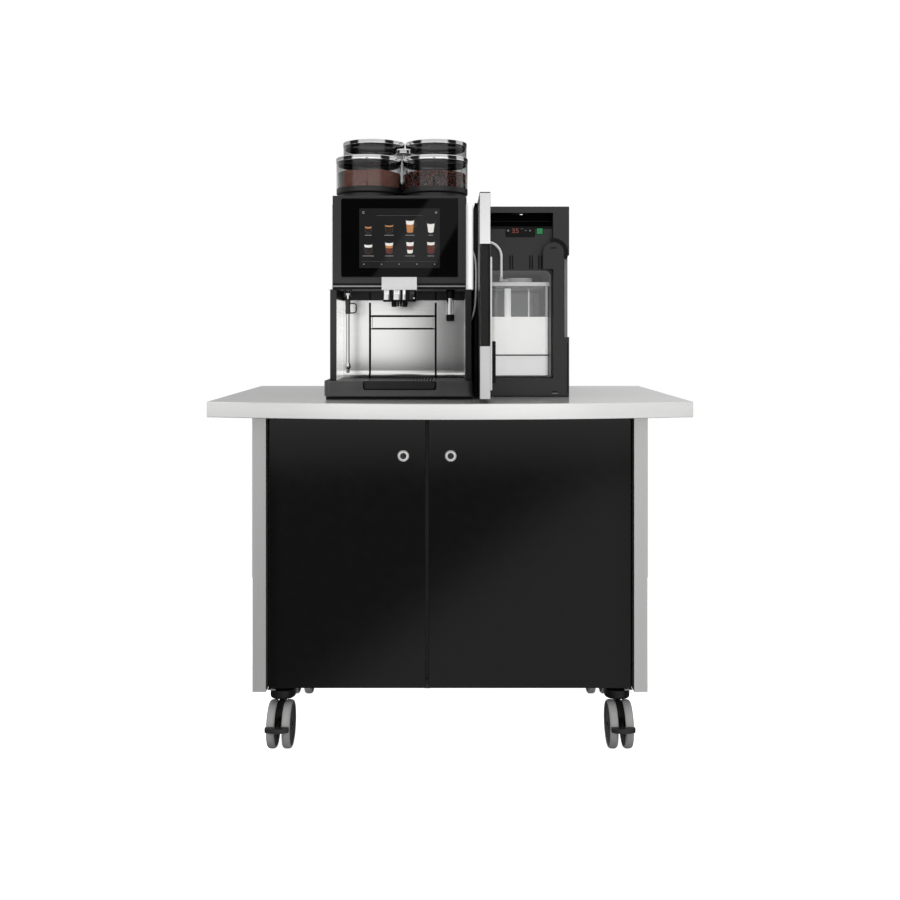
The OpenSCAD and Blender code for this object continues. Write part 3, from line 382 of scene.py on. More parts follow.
# %% Material builder
def finish(name, dark, light, rough, effect, scale, contrast=1.0, bump=0.0, depth=0.0003, glow=None,
           **shader):
    material = bpy.data.materials.new(name)
    material.use_nodes = True
    tree = material.node_tree
    tree.nodes.clear()
    out = tree.nodes.new("ShaderNodeOutputMaterial")
    surface = tree.nodes.new("ShaderNodeBsdfPrincipled")
    for key, value in shader.items():
        surface.inputs[key.replace("_", " ")].default_value = value
    spot = tree.nodes.new("ShaderNodeTexCoord")
    size = scale if isinstance(scale, tuple) else (scale,) * 3
    stretch = place(tree, "ShaderNodeMapping", {"Scale": size})
    group = place(tree, "ShaderNodeGroup", node_tree=effect)
    group.inputs["Contrast"].default_value = contrast
    mix = place(tree, "ShaderNodeMix", data_type="RGBA")
    spread = place(tree, "ShaderNodeMapRange", {"To Min": rough[0], "To Max": rough[1]})
    mixed = next(s for s in mix.outputs if s.type == "RGBA")
    ends = [s for s in mix.inputs if s.type == "RGBA"]
    ends[0].default_value, ends[1].default_value = rgb(dark), rgb(light)
    for a, b in ((spot.outputs["Object"], stretch.inputs["Vector"]),
                 (stretch.outputs["Vector"], group.inputs["Vector"]),
                 (group.outputs["Tone"], mix.inputs["Factor"]), (mixed, surface.inputs["Base Color"]),
                 (group.outputs["Tone"], spread.inputs["Value"]),
                 (spread.outputs["Result"], surface.inputs["Roughness"]),
                 (surface.outputs["BSDF"], out.inputs["Surface"])):
        tree.links.new(a, b)
    if glow is not None:
        tree.links.new(mixed, surface.inputs["Emission Color"])
        surface.inputs["Emission Strength"].default_value = glow
    if bump:
        relief = place(tree, "ShaderNodeBump", {"Strength": bump, "Distance": depth})
        tree.links.new(group.outputs["Height"], relief.inputs["Height"])
        tree.links.new(relief.outputs["Normal"], surface.inputs["Normal"])
    material.diffuse_color = rgb(light)
    return material


print("material builder ready")

# %% [markdown]
# The steels are brushed in one direction by a belt: the worktop along its length, the cabinet sides up and
# down, the splash panels across. A noise that is stretched a hundred times or more in one direction gives
# those lines. The chrome parts are polished, so they only carry faint smudges, and their look comes from
# what they mirror. The left cheek of the cup bay gets a glow of its own, because the real one catches more
# light than this studio gives it.

# %% Metal finishes
WORKTOP_STEEL = finish("worktop_steel", "#cdcdcc", "#e5e5e4", (0.14, 0.24), BRUSHED, (5, 900, 900), 1.1, 0.05,
                       0.0002, Metallic=0.72)
SIDE_STEEL = finish("side_steel", "#b4b4b3", "#d2d2d1", (0.32, 0.5), BRUSHED, (700, 700, 4), 1.1, 0.06,
                    0.0002, Metallic=1.0)
SPLASH_STEEL = finish("splash_steel", "#dcdcdb", "#ececeb", (0.17, 0.23), BRUSHED, (6, 800, 800), 0.7,
                      0.015, 0.0001, Metallic=1.0)
# The bay steel glows: painted light on the left cheek of the cup bay.
BAY_STEEL_GLOW = finish("bay_steel_glow", "#dcdcdb", "#ececeb", (0.17, 0.23), BRUSHED, (6, 800, 800), 0.7, 0.015,
                   0.0001, glow=0.45, Metallic=1.0)
LOCK_SATIN = finish("lock_satin", "#dededd", "#eeeeed", (0.3, 0.42), SMUDGE, 30, 1.0, Metallic=0.45)
PLATE_STEEL = finish("plate_steel", "#cacaca", "#dedede", (0.18, 0.28), BRUSHED, (600, 600, 5), 0.9, 0.03,
                     0.0002, Metallic=1.0)
# A darker copy of the silver: painted shade on the lower part of the cooler door's edge.
SILVER_SHADED = finish("silver_shaded", "#b0b0b0", "#c3c3c3", (0.18, 0.28), BRUSHED, (600, 600, 5), 0.9, 0.03,
                    0.0002, Metallic=1.0)
SILVER_TRIM = finish("silver_trim", "#e3e3e3", "#f5f5f5", (0.18, 0.28), BRUSHED, (600, 600, 5), 0.9, 0.03,
                     0.0002, Metallic=1.0)
CHROME = finish("chrome", "#cfd0d1", "#e9e9e9", (0.03, 0.1), SMUDGE, 30, 1.0, Metallic=1.0)
RIM_CHROME = finish("rim_chrome", "#f0f0f0", "#ffffff", (0.02, 0.07), SMUDGE, 30, 1.0, Metallic=1.0)
WORKS_STEEL = finish("works_steel", "#7d7d7c", "#a2a2a0", (0.3, 0.5), BRUSHED, (300, 300, 20), 1.2, 0.1,
                     Metallic=1.0)
BLACK_METAL = finish("black_metal", "#0c0c0c", "#181818", (0.3, 0.48), GRAIN, 900, 1.4, 0.12, Metallic=0.4)
print("metals:", WORKTOP_STEEL.name, SIDE_STEEL.name, SPLASH_STEEL.name, CHROME.name)

# %% [markdown]
# The dark parts differ more in gloss than in colour: the doors are a fine matt laminate, the machine is
# moulded plastic with a light grain, the display is polished glass, and the cooler is a warmer, lighter
# grey. Keeping their roughness apart is what lets the eye tell one black from another.

# %% Plastic, board and rubber finishes
DOOR_BLACK = finish("door_black", "#0d0d0d", "#121212", (0.06, 0.1), GRAIN, 1400, 1.2, 0.02, 0.0001,
                    Specular_IOR_Level=0.2)
BLACK_PLASTIC = finish("black_plastic", "#121212", "#1b1b1b", (0.36, 0.5), GRAIN, 1100, 1.2, 0.12)
PLINTH_GREY = finish("plinth_grey", "#393939", "#464646", (0.32, 0.45), GRAIN, 1100, 1.2, 0.1)
HEAD_GREY = finish("head_grey", "#161616", "#1d1d1d", (0.34, 0.48), GRAIN, 1100, 1.2, 0.1)
GLOSS_BLACK = finish("gloss_black", "#020202", "#040404", (0.01, 0.03), SMUDGE, 14, 1.2,
                     Specular_IOR_Level=0.45)
COOLER_GREY = finish("cooler_grey", "#191919", "#212121", (0.4, 0.55), GRAIN, 1000, 1.2, 0.12)
LINER_GREY = finish("liner_grey", "#1a1a1a", "#232323", (0.42, 0.56), GRAIN, 900, 1.2, 0.1)
# The niche grey is painted lighter and glows: painted light from the lamp in the niche.
NICHE_GLOW_GREY = finish("niche_glow_grey", "#5f5f5f", "#6e6e6e", (0.35, 0.5), GRAIN, 900, 1.2, 0.08, glow=0.37)
DEEP_BLACK = finish("deep_black", "#040404", "#080808", (0.35, 0.5), GRAIN, 900, 1.2, 0.08,
                    Specular_IOR_Level=0.16)
# Painted shade, blacker than any plastic, for the deep recess at the top of the cooler.
RECESS_SHADE_BLACK = finish("recess_shade_black", "#010101", "#020202", (0.4, 0.55), GRAIN, 900, 1.2, 0.05,
                   Specular_IOR_Level=0.02)
GRIP_BLACK = finish("grip_black", "#0c0c0c", "#131313", (0.36, 0.5), GRAIN, 900, 1.2, 0.08,
                    Specular_IOR_Level=0.35)
# A lighter grey: painted light on the underside of the head, which faces the bright bay.
UNDERSIDE_LIT_GREY = finish("underside_lit_grey", "#2c2c2c", "#373737", (0.4, 0.55), GRAIN, 900, 1.2, 0.1)
TREAD_GREY = finish("tread_grey", "#868685", "#a2a2a1", (0.38, 0.55), GRAIN, 500, 1.3, 0.15, 0.0004)
HUB_GREY = finish("hub_grey", "#2a2a2a", "#373737", (0.4, 0.55), GRAIN, 700, 1.2, 0.12)
CORE_BOARD = finish("core_board", "#8b7356", "#a58a68", (0.6, 0.8), GRAINS, 260, 1.0, 0.25, 0.0005)
DARK_BOARD = finish("dark_board", "#1b1b1c", "#262627", (0.42, 0.56), GRAIN, 900, 1.3, 0.1)
TANK_PLASTIC = finish("tank_plastic", "#b9c3c9", "#d3dade", (0.3, 0.45), GRAIN, 500, 1.1, 0.1,
                      Subsurface_Weight=0.1)
WHITE_RUBBER = finish("white_rubber", "#d8d8d6", "#e9e9e8", (0.45, 0.6), GRAIN, 700, 1.1, 0.08)
WHITE_PLASTIC = finish("white_plastic", "#e2e2e1", "#f0f0ef", (0.25, 0.38), GRAIN, 700, 1.1, 0.05)
PLAIN_STEEL = finish("plain_steel", "#8c8c8b", "#adadac", (0.35, 0.55), BRUSHED, (200, 200, 30), 1.1, 0.08,
                     Metallic=1.0)
print("plastics and boards:", DOOR_BLACK.name, BLACK_PLASTIC.name, COOLER_GREY.name)

# %% [markdown]
# What is left is lit, clear or eaten. Lamps and screen are emission mixed into an ordinary surface, so that
# they still mirror a little. The clear cups bend light, and so does the frosted lid of the milk container.
# The niche is lit by a lamp in the real cooler: a faint glow in its pale parts, which is painted light,
# does the same without the noise of a tiny lamp. Beans and cocoa get their broken colour from the group of
# loose grains.

# %% Lit, clear and food finishes
SIDE_GLOW = finish("side_glow", "#f4f4f4", "#ffffff", (0.25, 0.35), SMUDGE, 4, 1.0, glow=0.42)
SCREEN_GLOW = finish("screen_glow", "#121213", "#1c1c1d", (0.01, 0.03), SMUDGE, 5, 1.4, glow=0.75)
SWITCH_GREEN = finish("switch_green", "#0a6a36", "#158048", (0.2, 0.3), SMUDGE, 90, 1.0, glow=0.14)
LAMP_GLOW = finish("lamp_glow", "#e8f0f6", "#ffffff", (0.2, 0.3), SMUDGE, 60, 1.0, glow=1.1)
DIGIT_RED = finish("digit_red", "#86403d", "#a55a56", (0.3, 0.4), SMUDGE, 90, 1.0, glow=0.55)
MARK_GREY = finish("mark_grey", "#6b6b6b", "#858585", (0.3, 0.4), SMUDGE, 90, 1.0, glow=0.3)
CLEAR_CUP = finish("clear_cup", "#f0f1f2", "#ffffff", (0.02, 0.05), SMUDGE, 12, 1.0,
                   Transmission_Weight=1.0, IOR=1.38)
SMOKED_LID = finish("smoked_lid", "#101010", "#1b1b1b", (0.04, 0.1), SMUDGE, 14, 1.0)
# Milk, its foot and the pipe glow: painted light from the lamp in the niche.
MILK_GLOW = finish("milk", "#e6e5e2", "#f1f0ee", (0.25, 0.35), SMUDGE, 10, 1.0, glow=0.52)
MILK_FOOT_GLOW = finish("milk_foot_glow", "#d2d2d1", "#dededd", (0.3, 0.4), SMUDGE, 10, 1.0, glow=0.56)
PIPE_WHITE_GLOW = finish("pipe_white_glow", "#e2e2e1", "#f0f0ef", (0.25, 0.38), GRAIN, 700, 1.1, 0.05, glow=0.4)
# The lid edge glows pale: a painted highlight.
LID_EDGE_HIGHLIGHT = finish("lid_edge_highlight", "#b0b0b0", "#c0c0c0", (0.2, 0.3), SMUDGE, 20, 1.0, glow=0.22)
# The lid plug and the frosted lid glow: painted light from the lamp in the niche.
LID_PLUG_GLOW = finish("lid_plug_glow", "#565656", "#686868", (0.2, 0.3), SMUDGE, 20, 1.0, glow=0.3)
LID_FROST_GLOW = finish("lid_frost_glow", "#dfe0e0", "#f2f2f2", (0.1, 0.18), SMUDGE, 20, 1.0, glow=0.07,
                   Transmission_Weight=0.8, IOR=1.25)
BEANS = finish("coffee_beans", "#1d0805", "#8f4430", (0.36, 0.5), GRAINS, 190, 1.3, 0.2, 0.0006,
               Coat_Weight=0.08)
# Painted shade: the dark inside of a heap of beans, put on the drum behind them.
BEAN_SHADOW = finish("bean_shadow", "#0d0603", "#1c0d07", (0.5, 0.7), GRAINS, 140, 1.0, 0.3, 0.001)
COCOA = finish("cocoa_powder", "#7b4f43", "#99695c", (0.75, 0.9), GRAINS, 420, 0.8, 0.35, 0.0008)
print("lit, clear and food:", SIDE_GLOW.name, CLEAR_CUP.name, BEANS.name)

# %% [markdown]
# The milk hose is a soft white tube that leaves a gland in the cooler wall, bends down under its own weight
# and pushes onto the elbow of the container's lid. It is swept along one smooth line made of two straights
# and an arc of 40 mm, which is a natural bend for a 7 mm hose. A curve object would do too. A mesh keeps
# the length exact.

# %% Milk hose
HOSE_BEND, HOSE_RADIUS, HOSE_Y, HOSE_DROP = 40.0, 3.5, -134.0, 55.7


def hose_line():
    turns = [math.radians(6 * i) for i in range(1, 16)]
    points = [(92 + 2.5 * i, 1368.0) for i in range(5)]
    points += [(102 + HOSE_BEND * math.sin(a), 1328 + HOSE_BEND * math.cos(a)) for a in turns]
    points += [(102 + HOSE_BEND, 1328 - HOSE_DROP * i / 9) for i in range(1, 10)]
    return [(x, HOSE_Y, z) for x, z in points]


route = hose_line()
hose_length = sum((Vector(a) - Vector(b)).length for a, b in zip(route, route[1:])) / 1000
hose = piece("milk_hose_tube", tube(route, HOSE_RADIUS, 20), "cart", [WHITE_RUBBER], ["milk_hose"])
print("hose length", round(hose_length, 4), "m")

# %% [markdown]
# The worktop is a sheet-steel pan folded over a board. Its front is one wide arc. The pan is a loft of the
# same arc outline at several insets, so the folded top and bottom edges get an even round along the bow,
# and the hollow below stays open for the board core. The core stays as the CAD made it and only gets a
# finish.

# %% Worktop
HALF_WIDTH, HALF_DEPTH, BOW_RISE = 625.0, 415.0, 80.0
WORKTOP_LOW, WORKTOP_TOP, SHEET = 900.0, 940.0, 1.5
BOW = (HALF_WIDTH ** 2 + BOW_RISE ** 2) / (2 * BOW_RISE)


def worktop_outline(inset, steps=64):
    half, reach, back = HALF_WIDTH - inset, BOW - inset, HALF_DEPTH - inset
    xs = [half * (2 * i / steps - 1) for i in range(steps + 1)]
    bow = [(x, BOW - HALF_DEPTH - math.sqrt(reach ** 2 - x ** 2)) for x in xs]
    return bow + [(half, back), (-half, back)]


def worktop_pan():
    loops = [(SHEET, WORKTOP_TOP - SHEET), (SHEET, WORKTOP_LOW)]
    loops += rim(1.4, WORKTOP_LOW, WORKTOP_TOP)[:4] + rim(1.3, WORKTOP_LOW, WORKTOP_TOP)[4:]
    return loft([(worktop_outline(inset), z) for inset, z in loops])


def clothe(node, material):
    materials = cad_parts[node].data.materials
    materials.clear()
    materials.append(material)
    print(node, "gets", material.name)


piece("worktop_pan", worktop_pan(), "cart", [WORKTOP_STEEL], ["worktop_skin"], sharp=30)
clothe("worktop_core", CORE_BOARD)

# %% [markdown]
# The cabinet is a pair of folded steel sides with dark doors, floor and back between them. These are flat
# boards and folded sheets, so softened copies of the CAD are right: the light on their rounded edges is all
# they need. The floor gets a small door stop, and the service port in the back gets a black grommet, which
# is turned. The two water tanks inside are softened more, because blown plastic has round edges.

# %% Cabinet
piece("side_posts", softened("side_panels", 0.6), "cart", [SIDE_STEEL], ["side_panels"])
piece("door_leaf_left", softened("door_left", 0.8), "door_left", [DOOR_BLACK], ["door_left"])
piece("door_leaf_right", softened("door_right", 0.8), "door_right", [DOOR_BLACK], ["door_right"])
door_stop = block((-68, -227.2, 165.0), (-54, -220.0, 192.0), 0.8)
floor_board = Shape().join(softened("floor_panel", 0.8)).add(door_stop)
piece("cabinet_floor", floor_board, "cart", [DARK_BOARD], ["floor_panel"])
PORT = (300, 0, 292)
grommet_edge = [(30.2, 320.0), (30.2, 328.0), (37.5, 327.6), (38.5, 325.1), (31.5, 325.1), (31.5, 320.0)]
grommet = lathe(eased(grommet_edge, 0.7, True), PORT, "y", 56, ring=True)
back_board = Shape().join(softened("back_panel", 1.0)).add(grommet, 1)
piece("cabinet_back", back_board, "cart", [DARK_BOARD, BLACK_PLASTIC], ["back_panel"])
piece("cabinet_divider", softened("divider", 0.8), "cart", [DARK_BOARD], ["divider"])
piece("cabinet_rails", softened("top_rails", 0.8), "cart", [DARK_BOARD], ["top_rails"])
piece("tank_pair", softened("water_tanks", 7.0, 4), "cart", [TANK_PLASTIC], ["water_tanks"])

# %% [markdown]
# A cam lock has a domed satin collar in the door, a nut behind it and a plug that turns with the key. The
# collar is turned on the lathe with the bore left open for the plug. The plug keeps its CAD form, because
# its cam has to catch the divider, and gets a dark key face with a slit.

# %% Door locks
LOCKS = {"left": -124.0, "right": 2.0}
LOCK_Z = 790.0


def lock_collar(x):
    profile = [(6.1, -224.0), (6.1, -251.2), (7.0, -252.0), (10.5, -251.9), (13.4, -251.2), (15.0, -250.0),
               (15.5, -248.8), (15.5, -248.05), (9.45, -248.05), (9.45, -228.0), (13.0, -228.0),
               (13.0, -224.0)]
    return lathe(profile, (x, 0, LOCK_Z), "y", 56, ring=True)


# A dark ring on the collar's inner cone round the plug: painted shade in the gap.
def lock_shade(x):
    profile = [(6.15, -251.0), (6.15, -252.1), (8.2, -252.15), (8.4, -251.6)]
    return lathe(profile, (x, 0, LOCK_Z), "y", 56, ring=True)


def lock_face(side, x):
    key_face = [(0.0, -251.5), (5.2, -251.4), (5.7, -251.0), (0.0, -250.9)]
    shape = Shape().add(softened("lock_plug_" + side, 0.3), 0)
    shape.add(lathe(key_face, (x, 0, LOCK_Z), "y", 40), 1)
    return shape.add(block((x - 0.8, -251.8, LOCK_Z - 3.4), (x + 0.8, -251.2, LOCK_Z + 3.4), 0.2, 2), 2)


for side, x in LOCKS.items():
    piece("lock_collar_" + side, Shape().add(lock_collar(x)).add(lock_shade(x), 1), "door_" + side,
          [LOCK_SATIN, DEEP_BLACK], ["lock_body_" + side])
    piece("lock_key_face_" + side, lock_face(side, x), "lock_" + side, [WORKS_STEEL, HUB_GREY, DEEP_BLACK],
          ["lock_plug_" + side])

# %% [markdown]
# Each caster is a black swivel fork between twin wheels with a crescent brake pedal. The wheel is turned: a
# soft grey tread with rounded shoulders on a darker hub that is dished on both sides. One lathe profile for
# each of the two finishes keeps the bore open for the axle.

# %% Casters
WHEEL_RADIUS, AXLE_BORE, TRAIL = 62.5, 5.05, 45.0
CASTER_X = {"left": -455.0, "right": 455.0}
SWIVEL_Y = {"front": -160.0, "rear": 251.0}


def twin_wheels(x, y):
    near, far = 9.0, 32.0
    tread = [(55.5, near + 1.5), (58.5, near), (WHEEL_RADIUS, near + 5), (WHEEL_RADIUS, far - 5), (58.5, far),
             (55.5, far - 1.5)]
    hub = [(AXLE_BORE, near + 3), (14, near + 3), (16, near + 5), (40, near + 5), (43, near + 3),
           (55.6, near + 1.6), (55.6, far - 1.6), (51, far - 2), (46, far - 4.5), (18, far - 4.5),
           (15, far - 2), (AXLE_BORE, far - 2)]
    shape = Shape()
    for side in (-1, 1):
        for index, profile in ((0, eased(tread, 3.0, True)), (1, eased(hub, 1.2, True))):
            shape.add(lathe([(r, side * w) for r, w in profile], (x, y, WHEEL_RADIUS), "x", 72, ring=True),
                      index)
    return shape


for row, y in SWIVEL_Y.items():
    for side, x in CASTER_X.items():
        corner = row + "_" + side
        crown = slab(round_box(x - 34, y - 46, x + 34, y + 33, 30, 8), 127.0, 152.0, "z", 4.0)
        fork = Shape().join(softened("fork_" + corner, 0.8)).add(crown)
        piece("caster_fork_" + corner, fork, "fork_" + corner, [BLACK_METAL], ["fork_" + corner])
        piece("caster_wheels_" + corner, twin_wheels(x, y - TRAIL), "wheels_" + corner,
              [TREAD_GREY, HUB_GREY], ["wheels_" + corner])
        piece("caster_pedal_" + corner, softened("pedal_" + corner, 0.8), "pedal_" + corner, [BLACK_PLASTIC],
              ["pedal_" + corner])

# %% [markdown]
# Pivots, caster plates and the works inside the machine are hardly ever seen. They stay as the CAD made
# them and only need a finish of their own.

# %% Finishes on CAD nodes that stay
clothe("door_pivots", PLAIN_STEEL)
clothe("caster_mounts", PLAIN_STEEL)
clothe("brew_unit", WORKS_STEEL)

# %% [markdown]
# The machine stands on a moulded base with a tray let into it. A softened copy of the CAD keeps every
# opening. The copy is stretched a few millimetres at its left end, where the real base reaches a little
# further out, and a thin dark ribbon on its front draws the gap round the tray. Cutting that gap would take
# more faces and look the same.

# %% Machine base
MACHINE_X = -133.0
FOOT_SHADE_LEVEL, BASE_TOP = 948.0, 985.0


def tray_line(inset):
    half, top, foot, r, wide = 97.0, 988.0, 965.6, 6.0, 3.4
    turns = [math.pi / 2 * k / 6 for k in range(7)]
    far, near = r - inset, max(r - wide + inset, 0.3)
    outer = [(-half + inset, top)]
    outer += [(-half + r - far * math.cos(a), foot + r - far * math.sin(a)) for a in turns]
    inner = [(-half + wide - inset, top)]
    inner += [(-half + r - near * math.cos(a), foot + r - near * math.sin(a)) for a in turns]
    ribbon = outer + [(-u, v) for u, v in outer[::-1]] + [(-u, v) for u, v in inner] + inner[::-1]
    return [(MACHINE_X + u, v) for u, v in ribbon]


# Faces below the foot level are painted black as painted shade at the foot of the base; upward faces on top
# are black too.
def base_rule(spot, look):
    return 1 if spot.z < FOOT_SHADE_LEVEL or (look.z > 0.9 and spot.z > BASE_TOP) else 0


def widened(bm, beyond_x, by):
    for vert in bm.verts:
        vert.co.x += by if (vert.co.x - beyond_x) * by > 0.0 else 0.0
    return bm


plinth = widened(painted(softened("machine_base", 2.0, cuts=(FOOT_SHADE_LEVEL,)), base_rule), -250.0, -5.8)
plinth = Shape().join(plinth).add(slab(tray_line, -263.3, -262.8, "y", 0.1, 1), 1)
piece("machine_plinth", plinth, "cart", [PLINTH_GREY, DEEP_BLACK], ["machine_base"])

# %% [markdown]
# The black shell frames the cup bay. Its cheeks inside the bay are steel, and the back of the bay is a
# brushed steel splash that runs out forwards in a cove at its foot. A rule that looks at the place and the
# direction of each face picks black or steel, so the shell stays one mesh. The cove is a short loft along
# the machine's width.

# %% Machine shell and splash
BAY_HALF, BAY_TOP, SPLASH_Y = 169.0, 1206.0, -80.05
SHELL_RIGHT, SHELL_MORE = 30.0, 4.5


# The left cheek's inner faces, which look right, get the glowing bay steel: painted light.
def shell_rule(spot, look):
    inside = abs(spot.x - MACHINE_X) < BAY_HALF and -245.0 < spot.y < -79.0 and spot.z < BAY_TOP
    return (1 if look.x > 0.7 else 3 if look.x < -0.7 else 0) if inside else 0


def cove(low, high, r=26.0, top=1010.4, foot=990.7):
    turns = [math.asin((top - foot) / r) * k / 12 for k in range(13)]
    bend = [(-80.1 - r * (1 - math.cos(a)), top - r * math.sin(a)) for a in turns]
    outline = bend + [(SPLASH_Y, foot), (SPLASH_Y, top)]
    return loft([(outline, MACHINE_X + low), (outline, MACHINE_X + high)], "x")


shell = painted(softened("machine_body", 1.6, cuts=(BAY_TOP,)), shell_rule)
shell = Shape().join(widened(shell, SHELL_RIGHT, SHELL_MORE))
for side in (-1, 1):
    gap = MACHINE_X + side * 92.8
    shell.add(block((gap - 2.6, -78.4, 1207.5), (gap + 2.6, -77.8, 1231.8), 0.1, 1), 2)
piece("machine_shell", shell, "cart", [BLACK_PLASTIC, BAY_STEEL_GLOW, DEEP_BLACK, SPLASH_STEEL], ["machine_body"])
splash = Shape().join(widened(softened("backsplash", 0.3), SHELL_RIGHT, SHELL_MORE))
splash.add(cove(-167.8, -95.6)).add(cove(95.6, 172.3))
piece("splash_panel", splash, "cart", [SPLASH_STEEL], ["backsplash"])

# %% [markdown]
# The splash is divided by the grounds drawer, whose gaps are the dark upright lines. A folding cup shelf
# lies flush in the drawer's front, and the pocket behind it is painted black as painted shade. Short dark
# marks at both ends carry the shelf's gaps on to the drawer's edge. Drawer, shelf and tray have thin walls,
# so softened copies with a few thin blocks are enough.

# %% Grounds drawer, cup shelf and tray
DRAWER_HALF, POCKET_HALF = 90.0, 85.6


# Faces in the pocket behind the cup shelf are painted black: painted shade.
def pocket_shade_rule(spot, look):
    across = abs(spot.x - MACHINE_X) < POCKET_HALF + 0.9
    return 1 if across and 1125.0 < spot.z < 1167.0 and -79.4 < spot.y < -74.0 else 0


drawer = Shape().join(painted(softened("grounds_drawer", 0.6), pocket_shade_rule))
drawer.add(cove(-DRAWER_HALF, DRAWER_HALF))
lip = [(MACHINE_X + side * DRAWER_HALF, y, z) for side, y, z in ((-1, -80.6, 1180.0), (1, -80.02, 1207.0))]
drawer.add(block(*lip, 0.15, 1))
for low, high in ((1126.0, 1129.2), (1161.0, 1165.8)):
    for side in (-1, 1):
        ends = sorted((MACHINE_X + side * POCKET_HALF, MACHINE_X + side * DRAWER_HALF))
        drawer.add(block((ends[0], -80.25, low), (ends[1], -79.9, high), 0.05, 1), 1)
piece("drawer_panel", drawer, "grounds_drawer", [SPLASH_STEEL, DEEP_BLACK], ["grounds_drawer"])
piece("shelf_flap", softened("cup_shelf", 0.5), "cup_shelf", [SPLASH_STEEL], ["cup_shelf"])
piece("tray_pan", softened("drip_tray", 0.6), "drip_tray", [BLACK_PLASTIC], ["drip_tray"])

# %% [markdown]
# The head carries the display between two lit side strips. It is a softened copy too, drawn out a little at
# both ends, and its underside gets a lighter grey, painted light from the bright bay below it. A thin steel
# line in a dark groove runs along its lower edge. The pane is a slab with rounded corners, and the strips are
# rounded bars that glow.

# %% Machine head
HEAD_LOW, LIGHT_TOP = 1232.0, 1460.0


# Downward faces at the foot of the head get the lighter grey: painted light from the bay.
def underside_light_rule(spot, look):
    return 1 if look.z < -0.7 and spot.z < HEAD_LOW + 2.0 else 0


head = widened(widened(painted(softened("display_housing", 1.6), underside_light_rule), -300.0, -5.0), 35.0, 1.5)
piece("machine_head", head, "cart", [HEAD_GREY, UNDERSIDE_LIT_GREY], ["display_housing"])
head_line = Shape().add(block((-310.5, -248.5, HEAD_LOW + 0.6), (41.0, -247.2, 1248.4), 0.3, 2), 1)
head_line.add(block((-311.0, -248.9, 1238.4), (41.5, -247.4, 1242.3), 0.5), 0)
piece("head_line", head_line, "cart", [PLAIN_STEEL, DEEP_BLACK], ())
glass = slab(round_box(-290.0, 1265.0, 20.5, 1473.0, 5.0), -248.0, -243.0, "y", 0.8)
piece("display_pane", glass, "cart", [GLOSS_BLACK], ["display_glass"])
lights = Shape()
for low, high in ((-328.0, -312.2), (42.7, 62.0)):
    lights.add(slab(round_box(low, -240.0, high, -200.0, 6.0), HEAD_LOW, LIGHT_TOP, "z", 2.0))
piece("side_light_bars", lights, "cart", [SIDE_GLOW], ["side_lights"])

# %% [markdown]
# In the gap between the machine and the open cooler door a thin pale line comes down and bends into the
# machine's right column. It is taken for a stiff milk line, which is a guess. It is a tube along a smooth
# line through a few points, and it stays clear of the door, which swings past it.

# %% Milk line beside the machine
def smooth_line(points, steps=6):
    knots = [Vector(p) for p in points]
    knots = [2 * knots[0] - knots[1], *knots, 2 * knots[-1] - knots[-2]]
    line = []
    for a, b, c, d in zip(knots, knots[1:], knots[2:], knots[3:]):
        square, cube = 2 * a - 5 * b + 4 * c - d, 3 * b - 3 * c + d - a
        line += [b + 0.5 * ((c - a) * t + square * t ** 2 + cube * t ** 3)
                 for t in (k / steps for k in range(steps))]
    return line + [knots[-2]]


MILK_LINE = [(51.0, -74.0, 1352.0), (51.5, -105.0, 1352.0), (54.0, -140.0, 1350.0), (60.5, -175.0, 1342.0),
             (68.0, -198.0, 1318.0), (70.4, -212.0, 1280.0), (69.6, -222.0, 1230.0), (66.8, -228.0, 1190.0),
             (62.0, -230.5, 1166.0), (56.0, -231.0, 1150.0)]
MILK_LINE_RADIUS = 2.4
piece("milk_line", tube(smooth_line(MILK_LINE), MILK_LINE_RADIUS, 14), "cart", [WHITE_RUBBER], ())

# %% [markdown]
# The touch screen shows eight drinks as small lit pictures. They are flat prisms a fraction of a millimetre
# thick: a tumbler is a stack of bands that widen upwards, one band for each layer of the drink, with a
# plain bar below. Emission in the material lights them. An image would be simpler, but it would not stay
# sharp in a close view. Each drink below is half its foot's width, half its top's width, its height, and
# its layers from the foot up.

# %% Drinks on the screen
GLYPHS = [finish("drink_" + name, dark, light, (0.1, 0.2), SMUDGE, 120, 1.0, glow=power)
          for name, dark, light, power in (
              ("coffee", "#130a06", "#1f110a", 0.5), ("crema", "#8a5a30", "#a8744a", 0.55),
              ("foam", "#b3b0aa", "#cfccc6", 0.55), ("cocoa", "#40190f", "#572a20", 0.55),
              ("bar", "#5f5f5f", "#767676", 0.55), ("glass", "#3a3a3b", "#4b4b4c", 0.4))]
COFFEE, CREMA, FOAM, COCOA_DRINK, BAR, GLASS = range(1, 7)
DRINKS = [
    (6.4, 8.2, 15.0, ((COFFEE, 0.0, 0.72), (CREMA, 0.72, 1.0))),
    (7.6, 10.4, 19.0, ((COFFEE, 0.0, 0.8), (CREMA, 0.8, 0.98))),
    (7.8, 10.6, 31.0, ((CREMA, 0.0, 0.68), (FOAM, 0.68, 1.0))),
    (6.8, 10.2, 27.0, ((FOAM, 0.0, 0.84), (GLASS, 0.84, 0.9))),
    (8.2, 10.4, 22.0, ((COFFEE, 0.0, 0.7), (FOAM, 0.7, 1.0))),
    (7.4, 10.4, 27.0, ((COCOA_DRINK, 0.0, 0.5), (CREMA, 0.5, 0.74), (FOAM, 0.74, 1.0))),
    (6.6, 9.8, 29.0, ((FOAM, 0.0, 0.3), (COCOA_DRINK, 0.3, 0.66), (FOAM, 0.66, 1.0))),
    (7.8, 9.8, 29.0, ((COCOA_DRINK, 0.0, 0.74), (FOAM, 0.74, 1.0)))]
CAPTIONS = (9.0, 12.0, 12.0, 6.0, 15.0, 11.0, 13.0, 9.0)
WITH_HANDLE = (2, 7)
SCREEN_Y = -248.3


